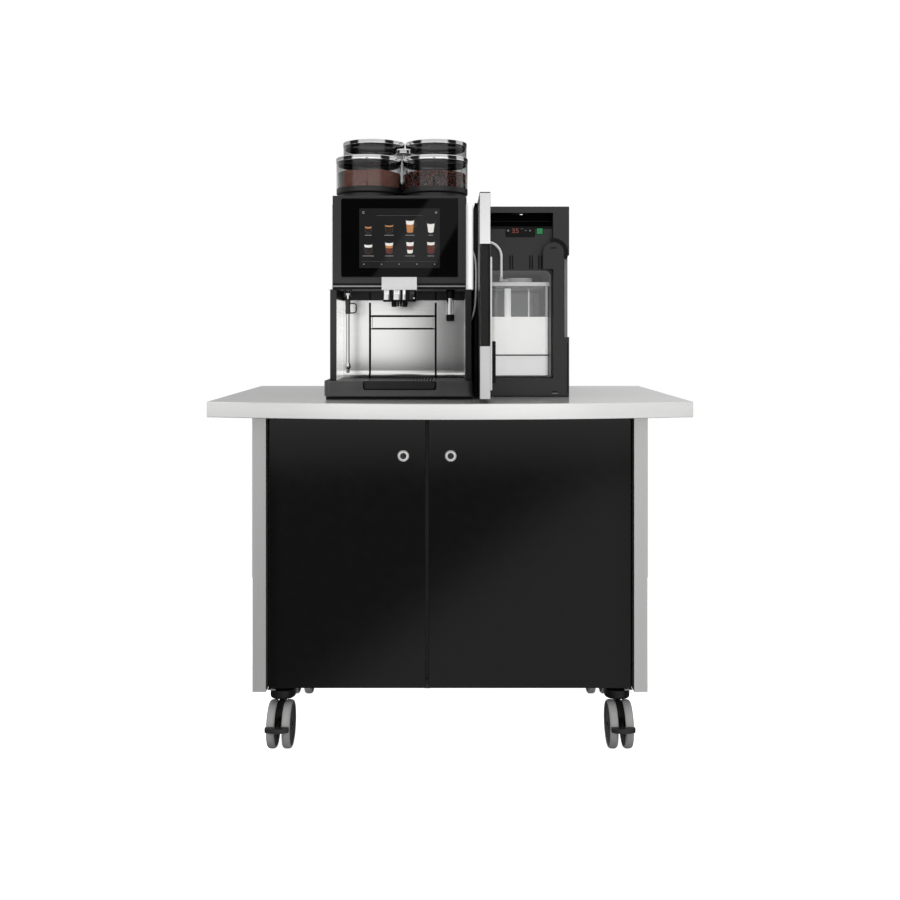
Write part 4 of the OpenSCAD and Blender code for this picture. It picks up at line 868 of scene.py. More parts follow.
def flat(points):
    return loft([(points, SCREEN_Y), (points, SCREEN_Y - 0.18)], "y")


def bar_at(x, z, wide, tall):
    return flat([(x - wide, z), (x + wide, z), (x + wide, z + tall), (x - wide, z + tall)])


def drink(shape, x, z, foot, top, tall, bands, sag=1.5, steps=10):
    def edge(level):
        half = foot + (top - foot) * level
        across = [2 * k / steps - 1 for k in range(steps + 1)]
        return [(x + half * u, z + tall * level - sag * (1 - u * u)) for u in across]

    for index, low, high in bands:
        shape.add(flat(edge(low) + edge(high)[::-1]), index)
    low, high = z - 0.6, z + tall * 1.12
    for side in (-1, 1):
        wall = [(foot + 0.5, low), (foot + 1.1, low), (top + 1.9, high), (top + 1.3, high)]
        shape.add(flat([(x + side * u, v) for u, v in wall]), GLASS)
    shape.add(bar_at(x, z - sag - 1.4, foot, 0.7), GLASS)


print("drinks:", len(DRINKS))

# %% Touch screen
def washer(inner, outer, x, z, steps):
    back, front = SCREEN_Y, SCREEN_Y - 0.2
    profile = [(inner, front), (outer, front), (outer, back), (inner, back)]
    return lathe(profile, (x, 0, z), "y", steps, ring=inner > 0)


def screen():
    shape = Shape().add(slab(round_box(-241.0, 1289.0, -27.0, 1447.0, 2.0), SCREEN_Y, -247.9, "y", 0.1, 1), 0)
    for i, (foot, top, tall, bands) in enumerate(DRINKS):
        x, z = -217.0 + 55.4 * (i % 4), (1384.0, 1329.0)[i // 4]
        drink(shape, x, z, foot, top, tall, bands)
        if i in WITH_HANDLE:
            shape.add(washer(4.0, 4.8, x + top + 1.5, z + 0.6 * tall, 20), GLASS)
        shape.add(bar_at(x, z - 9.0, CAPTIONS[i], 1.6), BAR)
    for i in range(5):
        shape.add(washer(0, 1.7, -229.0 + 47.0 * i, 1299, 16), BAR)
    for i in range(3):
        shape.add(bar_at(-230.0, 1433.0 + 2.6 * i, 3.0, 1.2), BAR)
    for x, z, wide, tall in ((-134.0, 1427.6, 61.0, 0.8), (-134.0, 1306.0, 101.0, 0.5)):
        shape.add(bar_at(x, z, wide, tall), GLASS)
    return shape.add(washer(1.6, 3.2, -37, 1436, 20), BAR)


piece("screen_picture", screen(), "cart", [SCREEN_GLOW] + GLYPHS, ())

# %% [markdown]
# The coffee spout slides up and down on two rods, whose upper end is read from the CAD. It has a plain
# steel front plate, rounded chrome blocks before a dark body, and dark nozzles. The rightmost block is gloss
# black, a painted dark reflection of chrome that mirrors the dark side. Slabs with round corners make the
# blocks, and the lathe makes rods and nozzles. One modelled block with cuts would be harder to finish in
# several tones.

# %% Coffee spout
def coffee_spout():
    x, top = MACHINE_X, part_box("spout_head")[1].z * 1000
    shape = Shape().add(slab(round_box(x - 46.5, 1229.0, x + 46.5, 1263.0, 1.6), -285.0, -251.0, "y", 0.9), 0)
    shape.add(slab(round_box(x - 43.0, -282.0, x + 43.0, -251.5, 11.0, 8), 1199.0, 1229.5, "z", 1.0), 2)
    # Finish 3 on the rightmost block is gloss black: a painted dark reflection of chrome.
    for low, high, index in ((-42.5, -24.5, 1), (-17.0, 3.5, 1), (7.0, 19.0, 1), (25.0, 42.5, 3)):
        shape.add(slab(round_box(x + low, -284.8, x + high, -262.0, 5.5, 8), 1203.0, 1229.3, "z", 0.8), index)
    shape.add(slab(round_box(x - 43.3, -284.9, x + 43.3, -251.2, 12.0, 8), 1198.4, 1203.2, "z", 1.2), 2)
    button = [(0, -285.0), (2.2, -284.9), (2.6, -284.0), (0, -283.5)]
    shape.add(lathe(button, (x + 38.5, 0, 1208.0), "y", 20), 1)
    thin_nozzle = eased([(1.4, 1199.0), (1.4, 1186.5), (2.8, 1186.5), (2.8, 1199.0)], 0.5, True)
    nozzle = eased([(4.4, 1198.5), (4.4, 1185.0), (7.0, 1185.0), (7.0, 1198.5)], 1.2, True)
    for side in (-1, 1):
        shape.add(lathe(thin_nozzle, (x + side * 3.6, -268, 0), "z", 16, ring=True), 2)
        shape.add(lathe(nozzle, (x + side * 14.2, -268, 0), "z", 28, ring=True), 2)
        rod = eased([(0, 1206.0), (5, 1206.0), (5, top), (0, top)], 0.8)
        shape.add(lathe(rod, (x + side * 14, -223, 0), "z", 28), 1)
    return shape.add(block((x - 24.0, -252.0, 1206.0), (x + 24.0, -213.0, 1221.0), 1.5), 2)


piece("coffee_spout", coffee_spout(), "spout_head", [PLATE_STEEL, CHROME, DEEP_BLACK, GLOSS_BLACK],
      ["spout_head"])

# %% [markdown]
# The steam wand is a polished tube with a dark grip, a wire finger loop and a bulb at its tip, and it
# swings on a pin. The hot water outlet is a short chrome tube between a dark collar and a dark tip. All of
# them are turned parts, so the lathe makes them, and the wire loop is a tube along a few points.

# %% Steam wand and hot water
OUTLET_Y, WAND_X, WAND_PIN_Z, HOT_WATER_X = -210.0, -275.0, 1222.0, 1.0


def wand():
    x, y, z = WAND_X, OUTLET_Y, WAND_PIN_Z
    grip = eased([(0, -55.0), (6.2, -55.0), (7.0, -50.0), (6.4, -35.0), (7.0, -18.0), (5.6, -14.0),
                  (0, -14.0)], 1.5)
    pipe = eased([(0, -213.0), (4.0, -213.0), (5.0, -209.0), (5.0, -203.0), (8.4, -198.0), (8.5, -193.0),
                  (5.0, -186.0), (5.0, 0.0), (0, 0.0)], 1.6)
    eye = eased([(0, -5.5), (6.5, -5.5), (6.5, 5.5), (0, 5.5)], 1.0)
    pin = eased([(0, -10.5), (4.0, -10.5), (4.0, 10.5), (0, 10.5)], 0.6)
    loop = [(6, -26), (14, -26), (19, -27), (22, -30), (22.5, -34), (22.5, -44), (22, -48), (19, -51),
            (14, -52), (6, -52)]
    shape = Shape().add(lathe(pipe, (x, y, z), "z", 32), 0).add(lathe(grip, (x, y, z), "z", 32), 1)
    for part in (eye, pin):
        shape.add(lathe(part, (x, y, z), "x", 32), 0)
    return shape.add(tube([(x + u, y, z + w) for u, w in loop], 1.8, 10), 1)


def hot_water():
    spot = (HOT_WATER_X, OUTLET_Y, 0)
    collar = eased([(0, 1232.0), (11.0, 1232.0), (12.0, 1226.0), (12.0, 1211.0), (10.5, 1209.0),
                    (0, 1209.0)], 1.4)
    pipe = eased([(6.0, 1211.0), (10.4, 1211.0), (10.4, 1165.5), (6.0, 1165.5)], 0.5, True)
    tip = eased([(6.0, 1148.0), (10.0, 1148.0), (11.5, 1151.0), (11.5, 1163.0), (9.5, 1166.0),
                 (6.0, 1166.0)], 1.2, True)
    shape = Shape().add(lathe(collar, spot, "z", 36), 1).add(lathe(pipe, spot, "z", 36, ring=True), 0)
    return shape.add(lathe(tip, spot, "z", 36, ring=True), 1)


piece("steam_pipe", wand(), "steam_wand", [CHROME, HUB_GREY], ["steam_wand"])
piece("hot_water_outlet", hot_water(), "cart", [CHROME, DEEP_BLACK], ["hot_water_spout"])

# %% [markdown]
# Things that repeat are grown with Geometry Nodes. One tree sets copies of a shape in a row, with the count
# and the step as inputs. It makes the bars of the drip grille and the vent slots. A second tree sets copies
# on given points, for screws and key slots. Each tree ends in Realize Instances and Set Material, and the
# result is turned into a plain mesh. Array modifiers would do for the rows, but not for the points.

# %% Trees that repeat a shape
def new_tree(name, sockets):
    tree = bpy.data.node_groups.new(name, "GeometryNodeTree")
    for label, kind in sockets:
        tree.interface.new_socket(label, in_out="INPUT", socket_type="NodeSocket" + kind)
    tree.interface.new_socket("Geometry", in_out="OUTPUT", socket_type="NodeSocketGeometry")
    return tree, tree.nodes.new("NodeGroupInput"), tree.nodes.new("NodeGroupOutput")


def end_tree(tree, start, end, points, shape_label, turn=None, size=None):
    info = tree.nodes.new("GeometryNodeObjectInfo")
    stamp = tree.nodes.new("GeometryNodeInstanceOnPoints")
    real = tree.nodes.new("GeometryNodeRealizeInstances")
    paint = tree.nodes.new("GeometryNodeSetMaterial")
    for a, b in ((start.outputs[shape_label], info.inputs["Object"]), (points, stamp.inputs["Points"]),
                 (info.outputs["Geometry"], stamp.inputs["Instance"]),
                 (stamp.outputs["Instances"], real.inputs["Geometry"]),
                 (real.outputs["Geometry"], paint.inputs["Geometry"]),
                 (start.outputs["Finish"], paint.inputs["Material"]),
                 (paint.outputs["Geometry"], end.inputs["Geometry"])):
        tree.links.new(a, b)
    if turn:
        tree.links.new(turn, stamp.inputs["Rotation"])
    if size:
        tree.links.new(size, stamp.inputs["Scale"])
    return tree


def row_tree():
    tree, start, end = new_tree("row_of_copies", (("Geometry", "Geometry"), ("Shape", "Object"),
                                                  ("Count", "Int"), ("Start", "Vector"), ("Step", "Vector"),
                                                  ("Finish", "Material")))
    line = place(tree, "GeometryNodeMeshLine", mode="OFFSET")
    tree.links.new(start.outputs["Count"], line.inputs["Count"])
    tree.links.new(start.outputs["Start"], line.inputs["Start Location"])
    tree.links.new(start.outputs["Step"], line.inputs["Offset"])
    return end_tree(tree, start, end, line.outputs["Mesh"], "Shape")


def point_tree():
    tree, start, end = new_tree("copies_on_points", (("Geometry", "Geometry"), ("Shape", "Object"),
                                                     ("Finish", "Material")))
    points = tree.nodes.new("GeometryNodeMeshToPoints")
    tree.links.new(start.outputs["Geometry"], points.inputs["Mesh"])
    return end_tree(tree, start, end, points.outputs["Points"], "Shape")


ROW, POINTS = row_tree(), point_tree()
print("trees:", ROW.name, POINTS.name)

# %% Growing a tree into a plain mesh
def pattern(bm):
    bmesh.ops.scale(bm, vec=(0.001, 0.001, 0.001), verts=bm.verts)
    mesh = bpy.data.meshes.new("pattern")
    bm.to_mesh(mesh)
    bm.free()
    mesh.shade_smooth()
    mesh.set_sharp_from_angle(angle=math.radians(38))
    obj = bpy.data.objects.new("pattern", mesh)
    scene.collection.objects.link(obj)
    return obj


def grown(name, base, tree, **values):
    obj = bpy.data.objects.new(name, base or bpy.data.meshes.new(name))
    scene.collection.objects.link(obj)
    maker = obj.modifiers.new("maker", "NODES")
    maker.node_group = tree
    for socket in tree.interface.items_tree:
        if socket.in_out == "INPUT" and socket.name in values:
            maker[socket.identifier] = values[socket.name]
    obj.data = plain_mesh(obj)
    obj.modifiers.remove(maker)
    obj.data.name = name
    for value in values.values():
        if isinstance(value, bpy.types.Object):
            bpy.data.objects.remove(value)
    return obj


def spots(points):
    mesh = bpy.data.meshes.new("spots")
    mesh.from_pydata([(x / 1000, y / 1000, z / 1000) for x, y, z in points], [], [])
    return mesh


print("growing: pattern, grown, spots")

# %% [markdown]
# The drip grille is a flat black frame with twenty rounded bars across it. The bars are one row of copies,
# and the frame is four blocks. Cutting slots into a plate would give the same look with untidy corners.

# %% Drip grille
GRILLE_HALF, GRILLE_INNER, BAR_STEP, BAR_COUNT = 92.0, 85.8, 8.381, 20
GRILLE_FRONT, GRILLE_BACK = -262.7, -96.0


def grille_frame():
    left, right = MACHINE_X - GRILLE_HALF, MACHINE_X + GRILLE_HALF
    inner_left, inner_right = MACHINE_X - GRILLE_INNER, MACHINE_X + GRILLE_INNER
    shape = Shape()
    for low, high in (((left, GRILLE_FRONT), (inner_left, GRILLE_BACK)),
                      ((inner_right, GRILLE_FRONT), (right, GRILLE_BACK)),
                      ((inner_left, GRILLE_FRONT), (inner_right, -251)),
                      ((inner_left, -103), (inner_right, GRILLE_BACK))):
        shape.add(block((*low, 987.0), (*high, 990.0), 0.7, 2))
    return shape


bar = pattern(block((-2.19, -251.6, 987.2), (2.19, -102.4, 989.9), 1.0, 2))
bars = grown("grille_bars", None, ROW, Shape=bar, Count=BAR_COUNT,
             Start=((MACHINE_X - 88 + BAR_STEP) / 1000, 0.0, 0.0), Step=(BAR_STEP / 1000, 0.0, 0.0),
             Finish=BLACK_METAL)
settle(bars, "drip_grille", ())
piece("grille_frame", grille_frame(), "drip_grille", [BLACK_METAL], ["drip_grille"])

# %% [markdown]
# The back of the machine is a plain cover with two fields of air slots, and both it and the cabinet back
# are held by small socket screws. Slots and screws are the same two trees again, so their counts are easy
# to change.

# %% Slots and screws at the back
rear_cover = slab(round_box(-305.0, 1008.0, 39.0, 1462.0, 8.0), 334.6, 336.0, "y", 0.6)
piece("rear_cover", rear_cover, "cart", [BLACK_PLASTIC], ())
for label, x in (("left", -215.0), ("right", -51.0)):
    slot = pattern(slab(round_box(x - 56, -2.2, x + 56, 2.2, 2.1), 335.9, 336.5, "y", 0.2, 1))
    slots = grown("air_slots_" + label, None, ROW, Shape=slot, Count=14, Start=(0.0, 0.0, 1.25),
                  Step=(0.0, 0.0, 0.012), Finish=DEEP_BLACK)
    settle(slots, "cart", ())
COVER_BACK, CABINET_BACK = 335.9, 324.9
screw = [(0, 0.5), (1.9, 0.5), (2.0, 2.0), (4.0, 1.7), (4.8, 0.8), (4.8, 0.0), (0, 0.0)]
heads = [(x, COVER_BACK, z) for x in (-291.0, 25.0) for z in (1024.0, 1235.0, 1446.0)]
heads += [(x, CABINET_BACK, z) for x in (-466.0, 466.0) for z in (205.0, 430.0, 655.0, 870.0)]
heads += [(x, CABINET_BACK, z) for x in (-160.0, 160.0) for z in (205.0, 870.0)]
screws = grown("rear_screws", spots(heads), POINTS, Shape=pattern(lathe(screw, (0, 0, 0), "y", 20)),
               Finish=WORKS_STEEL)
settle(screws, "cart", ())

# %% [markdown]
# The hoppers are clear cups on dark feet, closed by lids with a polished band. Cup, foot and lid are turned
# parts. The cup is a real wall with an inner and an outer surface, because clear plastic only looks right
# when light is bent twice.

# %% Hopper feet, cups and lids
HOPPERS = {"front_left": (-225.0, -120.0, 1586.0), "front_right": (-41.0, -120.0, 1586.0),
           "rear_left": (-225.0, 64.0, 1663.0), "rear_right": (-41.0, 64.0, 1663.0)}
CUP_RADIUS, CUP_INNER, CUP_FOOT, CUP_FLOOR = 90.0, 87.0, 1505.0, 1508.0
feet, cups = Shape(), Shape()
for x, y, top in HOPPERS.values():
    foot = eased([(0, 1481.0), (83.0, 1481.0), (84.5, 1484.0), (84.5, 1496.0), (90.2, 1500.0), (90.2, 1513.6),
                  (90.02, 1513.4), (82.0, 1504.98), (0, 1504.98)], 0.8)
    cup = eased([(0, CUP_FOOT), (82, CUP_FOOT), (CUP_RADIUS, 1513.0), (CUP_RADIUS, top), (CUP_INNER, top),
                 (CUP_INNER, 1512.0), (83.0, CUP_FLOOR), (0, CUP_FLOOR)], 1.0)
    feet.add(lathe(foot, (x, y, 0), "z", 96))
    cups.add(lathe(cup, (x, y, 0), "z", 96))
piece("hopper_bases", feet, "cart", [HEAD_GREY], ["hopper_feet"])
piece("hopper_cups", cups, "cart", [CLEAR_CUP], ["hoppers"])


def hopper_lid(x, y, z):
    band = eased([(85.5, z), (91.0, z), (91.0, z + 12.0), (85.5, z + 12.0)], 1.6, True)
    plate = eased([(0, z + 1.5), (85.6, z + 1.5), (85.6, z + 9.5), (60.0, z + 10.8), (0, z + 11.4)], 0.6)
    plug = eased([(83.7, z - 8.0), (86.7, z - 8.0), (86.7, z + 1.0), (83.7, z + 1.0)], 0.6, True)
    shape = Shape().add(lathe(band, (x, y, 0), "z", 96, ring=True), 0)
    return shape.add(lathe(plate, (x, y, 0), "z", 96), 1).add(lathe(plug, (x, y, 0), "z", 96, ring=True), 1)


for corner, (x, y, top) in HOPPERS.items():
    piece("hopper_lid_" + corner, hopper_lid(x, y, top), "lid_" + corner, [RIM_CHROME, SMOKED_LID],
          ["lid_" + corner])

# %% [markdown]
# Between the four hoppers a chrome knob on a thin post locks them to the machine. Both are turned. The
# lower end of the post is read from the CAD, so that it still ends in its bore when the machine's height is
# changed.

# %% Hopper lock
LOCK_POST = (MACHINE_X, -28.0, 0.0)
lock_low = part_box("hopper_lock")[0].z * 1000
post = eased([(0, lock_low), (4.0, lock_low), (4.0, 1626.5), (0, 1626.5)], 0.5)
knob = eased([(0, 1626.0), (21.0, 1626.0), (23.5, 1629.0), (23.5, 1639.0), (21.0, 1642.0), (0, 1642.0)], 1.4)
piece("hopper_knob", Shape().add(lathe(post, LOCK_POST, "z", 24)).add(lathe(knob, LOCK_POST, "z", 64)),
      "hopper_lock", [CHROME], ["hopper_lock"])

# %% [markdown]
# Coffee beans lie in three hoppers. One bean is an oval with a flat, creased belly. A tree scatters points
# on a hidden drum just inside the cup, keeps them nearly a bean's width apart, and sets a turned bean on
# each, so the beans crowd at the wall and on top without a simulation. A drum behind them, painted dark as
# the shade deep in the heap, stops the view through the gaps.

# %% Coffee beans
def bean_tree():
    tree, start, end = new_tree("beans_on_a_drum", (("Geometry", "Geometry"), ("Bean", "Object"),
                                                    ("Gap", "Float"), ("Density", "Float"), ("Seed", "Int"),
                                                    ("Finish", "Material")))
    points = place(tree, "GeometryNodeDistributePointsOnFaces", distribute_method="POISSON")
    turn = place(tree, "FunctionNodeRandomValue", data_type="FLOAT_VECTOR")
    turn.inputs[1].default_value = (math.tau, math.tau, math.tau)
    to_turn = tree.nodes.new("FunctionNodeEulerToRotation")
    size = place(tree, "FunctionNodeRandomValue", data_type="FLOAT")
    size.inputs[2].default_value, size.inputs[3].default_value = 0.85, 1.15
    for a, b in ((start.outputs["Geometry"], points.inputs["Mesh"]),
                 (start.outputs["Gap"], points.inputs["Distance Min"]),
                 (start.outputs["Density"], points.inputs["Density Max"]),
                 (start.outputs["Seed"], points.inputs["Seed"]),
                 (start.outputs["Seed"], turn.inputs["Seed"]), (start.outputs["Seed"], size.inputs["Seed"]),
                 (turn.outputs[0], to_turn.inputs[0])):
        tree.links.new(a, b)
    return end_tree(tree, start, end, points.outputs["Points"], "Bean", to_turn.outputs[0], size.outputs[1])


def one_bean():
    bm = bmesh.new()
    bmesh.ops.create_uvsphere(bm, u_segments=7, v_segments=5, radius=1.0)
    for vert in bm.verts:
        x, y, z = vert.co
        belly = 0.55 if z < 0 else 1.0
        crease = 1.1 if z < -0.4 and abs(y) < 0.3 else 0.0
        vert.co = (3.9 * x, 2.8 * y, 2.2 * belly * z + 0.7 * crease)
    return bm


BEAN_TREE = bean_tree()
BEAN_GAP, BEAN_DENSITY, FIRST_SEED = 0.0044, 120000.0, 3
for seed, corner in enumerate(("front_right", "rear_left", "rear_right"), FIRST_SEED):
    x, y, _ = HOPPERS[corner]
    drum = pattern(lathe([(82.5, 1512.0), (82.5, 1552.0), (80.0, 1555.0), (0, 1556.0)], (x, y, 0), "z", 64))
    drum_mesh = drum.data
    bpy.data.objects.remove(drum)
    beans = grown("beans_" + corner, drum_mesh, BEAN_TREE, Bean=pattern(one_bean()), Gap=BEAN_GAP,
                  Density=BEAN_DENSITY, Seed=seed, Finish=BEANS)
    settle(beans, "cart", ["coffee_beans"])
    core = eased([(0, 1508.6), (80, 1508.6), (82.0, 1511.0), (82.0, 1551.0), (78, 1553.4), (0, 1554.0)], 1.0)
    piece("bean_drum_" + corner, lathe(core, (x, y, 0), "z", 64), "cart", [BEAN_SHADOW], ())

# %% [markdown]
# The fourth hopper holds cocoa powder. Powder settles flat with soft humps, so the top of a turned drum is
# lifted here and there by a slow wave, and the material adds the fine crumbs. The left end of the real fill
# is dark, so faces that look left are black there.

# %% Cocoa powder
COCOA_RADIUS, COCOA_LOW, COCOA_TOP = 86.5, 1508.4, 1559.0


def cocoa_fill(x, y):
    rings = [(COCOA_RADIUS, z) for z in (COCOA_LOW, 1520.0, 1540.0, 1556.0)]
    rings += [(COCOA_RADIUS * (1 - k / 14), COCOA_TOP) for k in range(14)] + [(0, COCOA_TOP)]
    bm = lathe([(0, COCOA_LOW)] + rings, (x, y, 0), "z", 96)
    for vert in bm.verts:
        if vert.co.z > 1545:
            along, aside = math.sin(0.061 * vert.co.x + 1.0), math.sin(0.083 * vert.co.y - 0.4)
            vert.co.z += 0.9 * (along + aside + math.sin(0.047 * (vert.co.x - vert.co.y))) - 2.2
    return bm


def cocoa_rule(spot, look):
    return 1 if look.x < -0.74 and abs(look.z) < 0.5 else 0


cocoa = painted(cocoa_fill(*HOPPERS["front_left"][:2]), cocoa_rule)
piece("cocoa_fill", cocoa, "cart", [COCOA, BLACK_PLASTIC], ["cocoa_powder"])

# %% [markdown]
# The cooler is a dark box with a moulded lining. Its softened copies carry several finishes, picked by
# where a face lies and which way it looks: painted shade in black in the recess at the top and on the band
# below it, a lighter grey that glows in the niche as painted light from its lamp, and mid grey in the side
# grip. Separate objects for each tone would have to meet without a gap.

# %% Cooler body
RECESS_FOOT = 1404.5
GRIP_GREY = finish("grip_grey", "#7c7c7c", "#8f8f8f", (0.4, 0.55), GRAIN, 800, 1.2, 0.08)


# Faces in the recess at the top get painted shade; faces in the side grip get the mid grey.
def housing_rule(spot, look):
    if 85.0 < spot.x < 285.0 and -144.0 < spot.y < -104.0 and 1411.0 < spot.z < 1448.5:
        return 2
    at_side = spot.x > 313.6 and -144.0 < spot.y < -100.0
    return 1 if at_side and 1104.0 < spot.z < 1331.0 and look.x < 0.5 else 0


# The niche gets the glowing grey, painted light, and the band above the recess foot gets painted shade.
def liner_rule(spot, look):
    if 89 < spot.x < 281 and 994 < spot.z < 1290 and -126.2 < spot.y < 121:
        return 1
    return 2 if spot.z > RECESS_FOOT else 0


piece("cooler_shell", widened(painted(softened("cooler_housing", 1.4), housing_rule), 300.0, 1.8), "cart",
      [COOLER_GREY, GRIP_GREY, RECESS_SHADE_BLACK], ["cooler_housing"])
piece("cooler_lining", painted(softened("cooler_liner", 1.0, cuts=(RECESS_FOOT,)), liner_rule), "cart",
      [LINER_GREY, NICHE_GLOW_GREY, DEEP_BLACK], ["cooler_liner"])

# %% [markdown]
# The cooler's door stands open towards the camera, so its edge is what is seen: silver above and below a
# black grip, with a black cap on top. The silver on the lower part of the edge is a darker copy, painted
# shade. Its inside is white and its outside glossy black. The same kind of rule tells them apart, after level
# cuts at the ends of the grip and under the cap. A small black bracket sits low on its inside.

# %% Cooler door
GRIP_LOW, GRIP_HIGH, CAP_LOW, CAP_RISE = 1083.5, 1339.5, 1461.4, 5.0
DOOR_SHINE = finish("door_shine", "#0d0d0d", "#141414", (0.16, 0.26), SMUDGE, 9, 1.2, Specular_IOR_Level=0.25)


# Front faces below z 1200 get the shaded silver: painted shade.
def door_rule(spot, look):
    if spot.z > CAP_LOW:
        return 5
    if GRIP_LOW + 0.5 < spot.z < GRIP_HIGH - 0.5 and spot.y < -395.0 and look.x < 0.9:
        return 1
    if look.y < -0.5 and spot.y < -400.0:
        return 0 if spot.z > 1200.0 else 4
    return 3 if look.x > 0.5 else 2


cooler_door = painted(softened("cooler_door", 1.2, cuts=(GRIP_LOW, GRIP_HIGH, CAP_LOW)), door_rule)
for vert in cooler_door.verts:
    vert.co.z += CAP_RISE if vert.co.z > 1455.0 else 0.0
bracket = block((100.5, -388.0, 990.4), (115.2, -375.0, 1096.0), 2.0)
cooler_door = Shape().join(cooler_door).add(bracket, 5)
piece("cooler_door_leaf", cooler_door, "cooler_door",
      [SILVER_TRIM, GRIP_BLACK, DOOR_SHINE, WHITE_PLASTIC, SILVER_SHADED, DEEP_BLACK], ["cooler_door"])
piece("door_seal", softened("door_gasket", 1.2), "cooler_door", [WHITE_RUBBER], ["door_gasket"])
piece("power_rocker", softened("rocker_switch", 0.8), "rocker_switch", [SWITCH_GREEN], ["rocker_switch"])
clothe("cooling_unit", BLACK_METAL)

# %% [markdown]
# Above the niche sit a lamp and a small control strip with a red temperature display. They are thin trim on
# the lining, so they are made here and not in the CAD. The digits are strokes of a seven-segment display,
# and the number is only an example temperature. A text object would also do, but its outline is not that of
# a lit segment.

# %% Control strip and lamp
SEGMENTS = {"3": "abgcd", "5": "afgcd"}
STROKES = {"a": (0, 1, 1, 1), "b": (1, 0.5, 1, 1), "c": (1, 0, 1, 0.5), "d": (0, 0, 1, 0),
           "f": (0, 0.5, 0, 1), "g": (0, 0.5, 1, 0.5)}
LINING_Y, STRIP_Y, DIGIT_Y, MARK_Y = -126.9, -128.4, -128.9, -128.8
DIGIT_LOW, MARK_Z = 1394.5, 1400.0


def digit(shape, text, x, z, wide=5.6, tall=10.5, pen=0.45):
    for stroke in SEGMENTS[text]:
        u0, v0, u1, v1 = STROKES[stroke]
        low = (x + wide * u0 - pen, DIGIT_Y, z + tall * v0 - pen)
        high = (x + wide * u1 + pen, STRIP_Y, z + tall * v1 + pen)
        shape.add(block(low, high, 0.15, 1), 1)


def control_strip():
    shape = Shape().add(slab(round_box(154.0, 1382.0, 236.0, 1410.0, 4.0), -128.5, LINING_Y, "y", 0.5), 0)
    digit(shape, "3", 172.5, DIGIT_LOW)
    digit(shape, "5", 183.5, DIGIT_LOW)
    shape.add(block((180.4, DIGIT_Y, DIGIT_LOW - 0.8), (181.8, STRIP_Y, DIGIT_LOW + 0.6), 0.15, 1), 1)
    for x, z, r in ((161.5, MARK_Z, 2.6), (222.0, MARK_Z, 2.0), (197.0, 1405.0, 0.9), (202.0, 1405.0, 0.9)):
        shape.add(lathe([(0, MARK_Y), (r, MARK_Y), (r, STRIP_Y), (0, STRIP_Y)], (x, 0, z), "y", 20), 2)
    return shape.add(block((208.0, MARK_Y, MARK_Z - 0.4), (213.0, STRIP_Y, MARK_Z + 0.8), 0.15, 1), 2)


def ellipse(x, y, a, b):
    turns = [math.tau * k / 40 for k in range(40)]
    return lambda inset: [(x + (a - inset) * math.cos(t), y + (b - inset) * math.sin(t)) for t in turns]


piece("cooler_controls", control_strip(), "cart", [DEEP_BLACK, DIGIT_RED, MARK_GREY], ())
lamp = Shape().add(slab(ellipse(190.0, -126.0, 25.0, 15.0), 1444.0, 1447.2, "z", 0.8), 0)
lamp.add(slab(ellipse(197.0, -136.0, 4.0, 3.0), 1443.2, 1444.6, "z", 0.4), 1)
lip_line = block((89.0, -113.0, 1426.4), (281.0, -110.0, 1428.4), 0.3, 1)
piece("cooler_lamp", lamp.add(lip_line, 0), "cart", [DEEP_BLACK, LAMP_GLOW], ())

# %% [markdown]
# On the right of the niche a raised panel ends in an arch, with a band of painted shadow round it and a slot
# near its top. Three pairs of key slots hang the lining, and thin dark lines mark the housing's seam and a
# low slot; a line along its foot is a painted contact shadow. The arch is an outline of one half circle, and
# the slots are copies on points. Apart from the panel, all of it is trim less than a millimetre thick.

# %% Arch panel and key slots
ARCH_X, ARCH_Z, ARCH_RADIUS, ARCH_FOOT = 285.0, 1337.0, 29.0, 1292.0
FRONT_Y, LINE_Y = -144.9, -145.6


def on_arch(radius, turns):
    return [(ARCH_X + radius * math.cos(a), ARCH_Z + radius * math.sin(a)) for a in turns]


def arch(inset):
    half = ARCH_RADIUS - inset
    foot = [(ARCH_X - half, ARCH_FOOT + inset), (ARCH_X + half, ARCH_FOOT + inset)]
    return foot + on_arch(half, [math.pi * k / 24 for k in range(25)])


# A band of painted shadow round the arch, where the wall above the grip recess lies in shade.
def arch_shadow_band(inset):
    turns = [math.radians(100 - 128 * k / 20) for k in range(21)]
    return on_arch(41.0 - inset, turns) + on_arch(ARCH_RADIUS + 0.6 + inset, turns[::-1])


panel = Shape().add(slab(arch, -145.4, LINING_Y, "y", 1.2), 0)
panel.add(slab(arch_shadow_band, -145.35, FRONT_Y, "y", 0.1, 1), 1)
panel.add(block((276.0, -145.7, 1349.0), (294.0, -145.2, 1352.2), 0.2, 1), 1)
# The line along the housing's foot, at the worktop, is a painted contact shadow.
for x0, z0, x1, z1, index in ((322.8, 950.0, 325.2, 1090.0, 1), (281.3, 952.9, 295.0, 955.7, 1),
                              (282.0, 949.0, 297.0, 950.6, 2), (120.0, 940.8, 325.2, 943.0, 1)):
    panel.add(block((x0, LINE_Y, z0), (x1, FRONT_Y, z1), 0.2, 1), index)
piece("arch_panel", panel, "cart", [LINER_GREY, DEEP_BLACK, GRIP_GREY], ())

slot_shape = pattern(slab(round_box(-1.9, 1293.0, 1.9, 1332.0, 1.8), -127.7, -126.8, "y", 0.3, 2))
slots = grown("key_slots", spots([(x + d, 0, 0) for x in (170, 225, 250) for d in (-3.4, 3.4)]), POINTS,
              Shape=slot_shape, Finish=DEEP_BLACK)
settle(slots, "cart", ())

# %% [markdown]
# The milk container is a clear box with rounded corners, about two thirds full. Wall, milk and the pale
# foot are separate lofts of one outline, milk and foot a little inside the wall, and they all slide out
# together. Milk, foot and the pipe glow as painted light from the lamp in the niche. A real clear box shines
# at its corners, because light runs along the wall, so the front right corner above the milk gets a painted
# highlight.

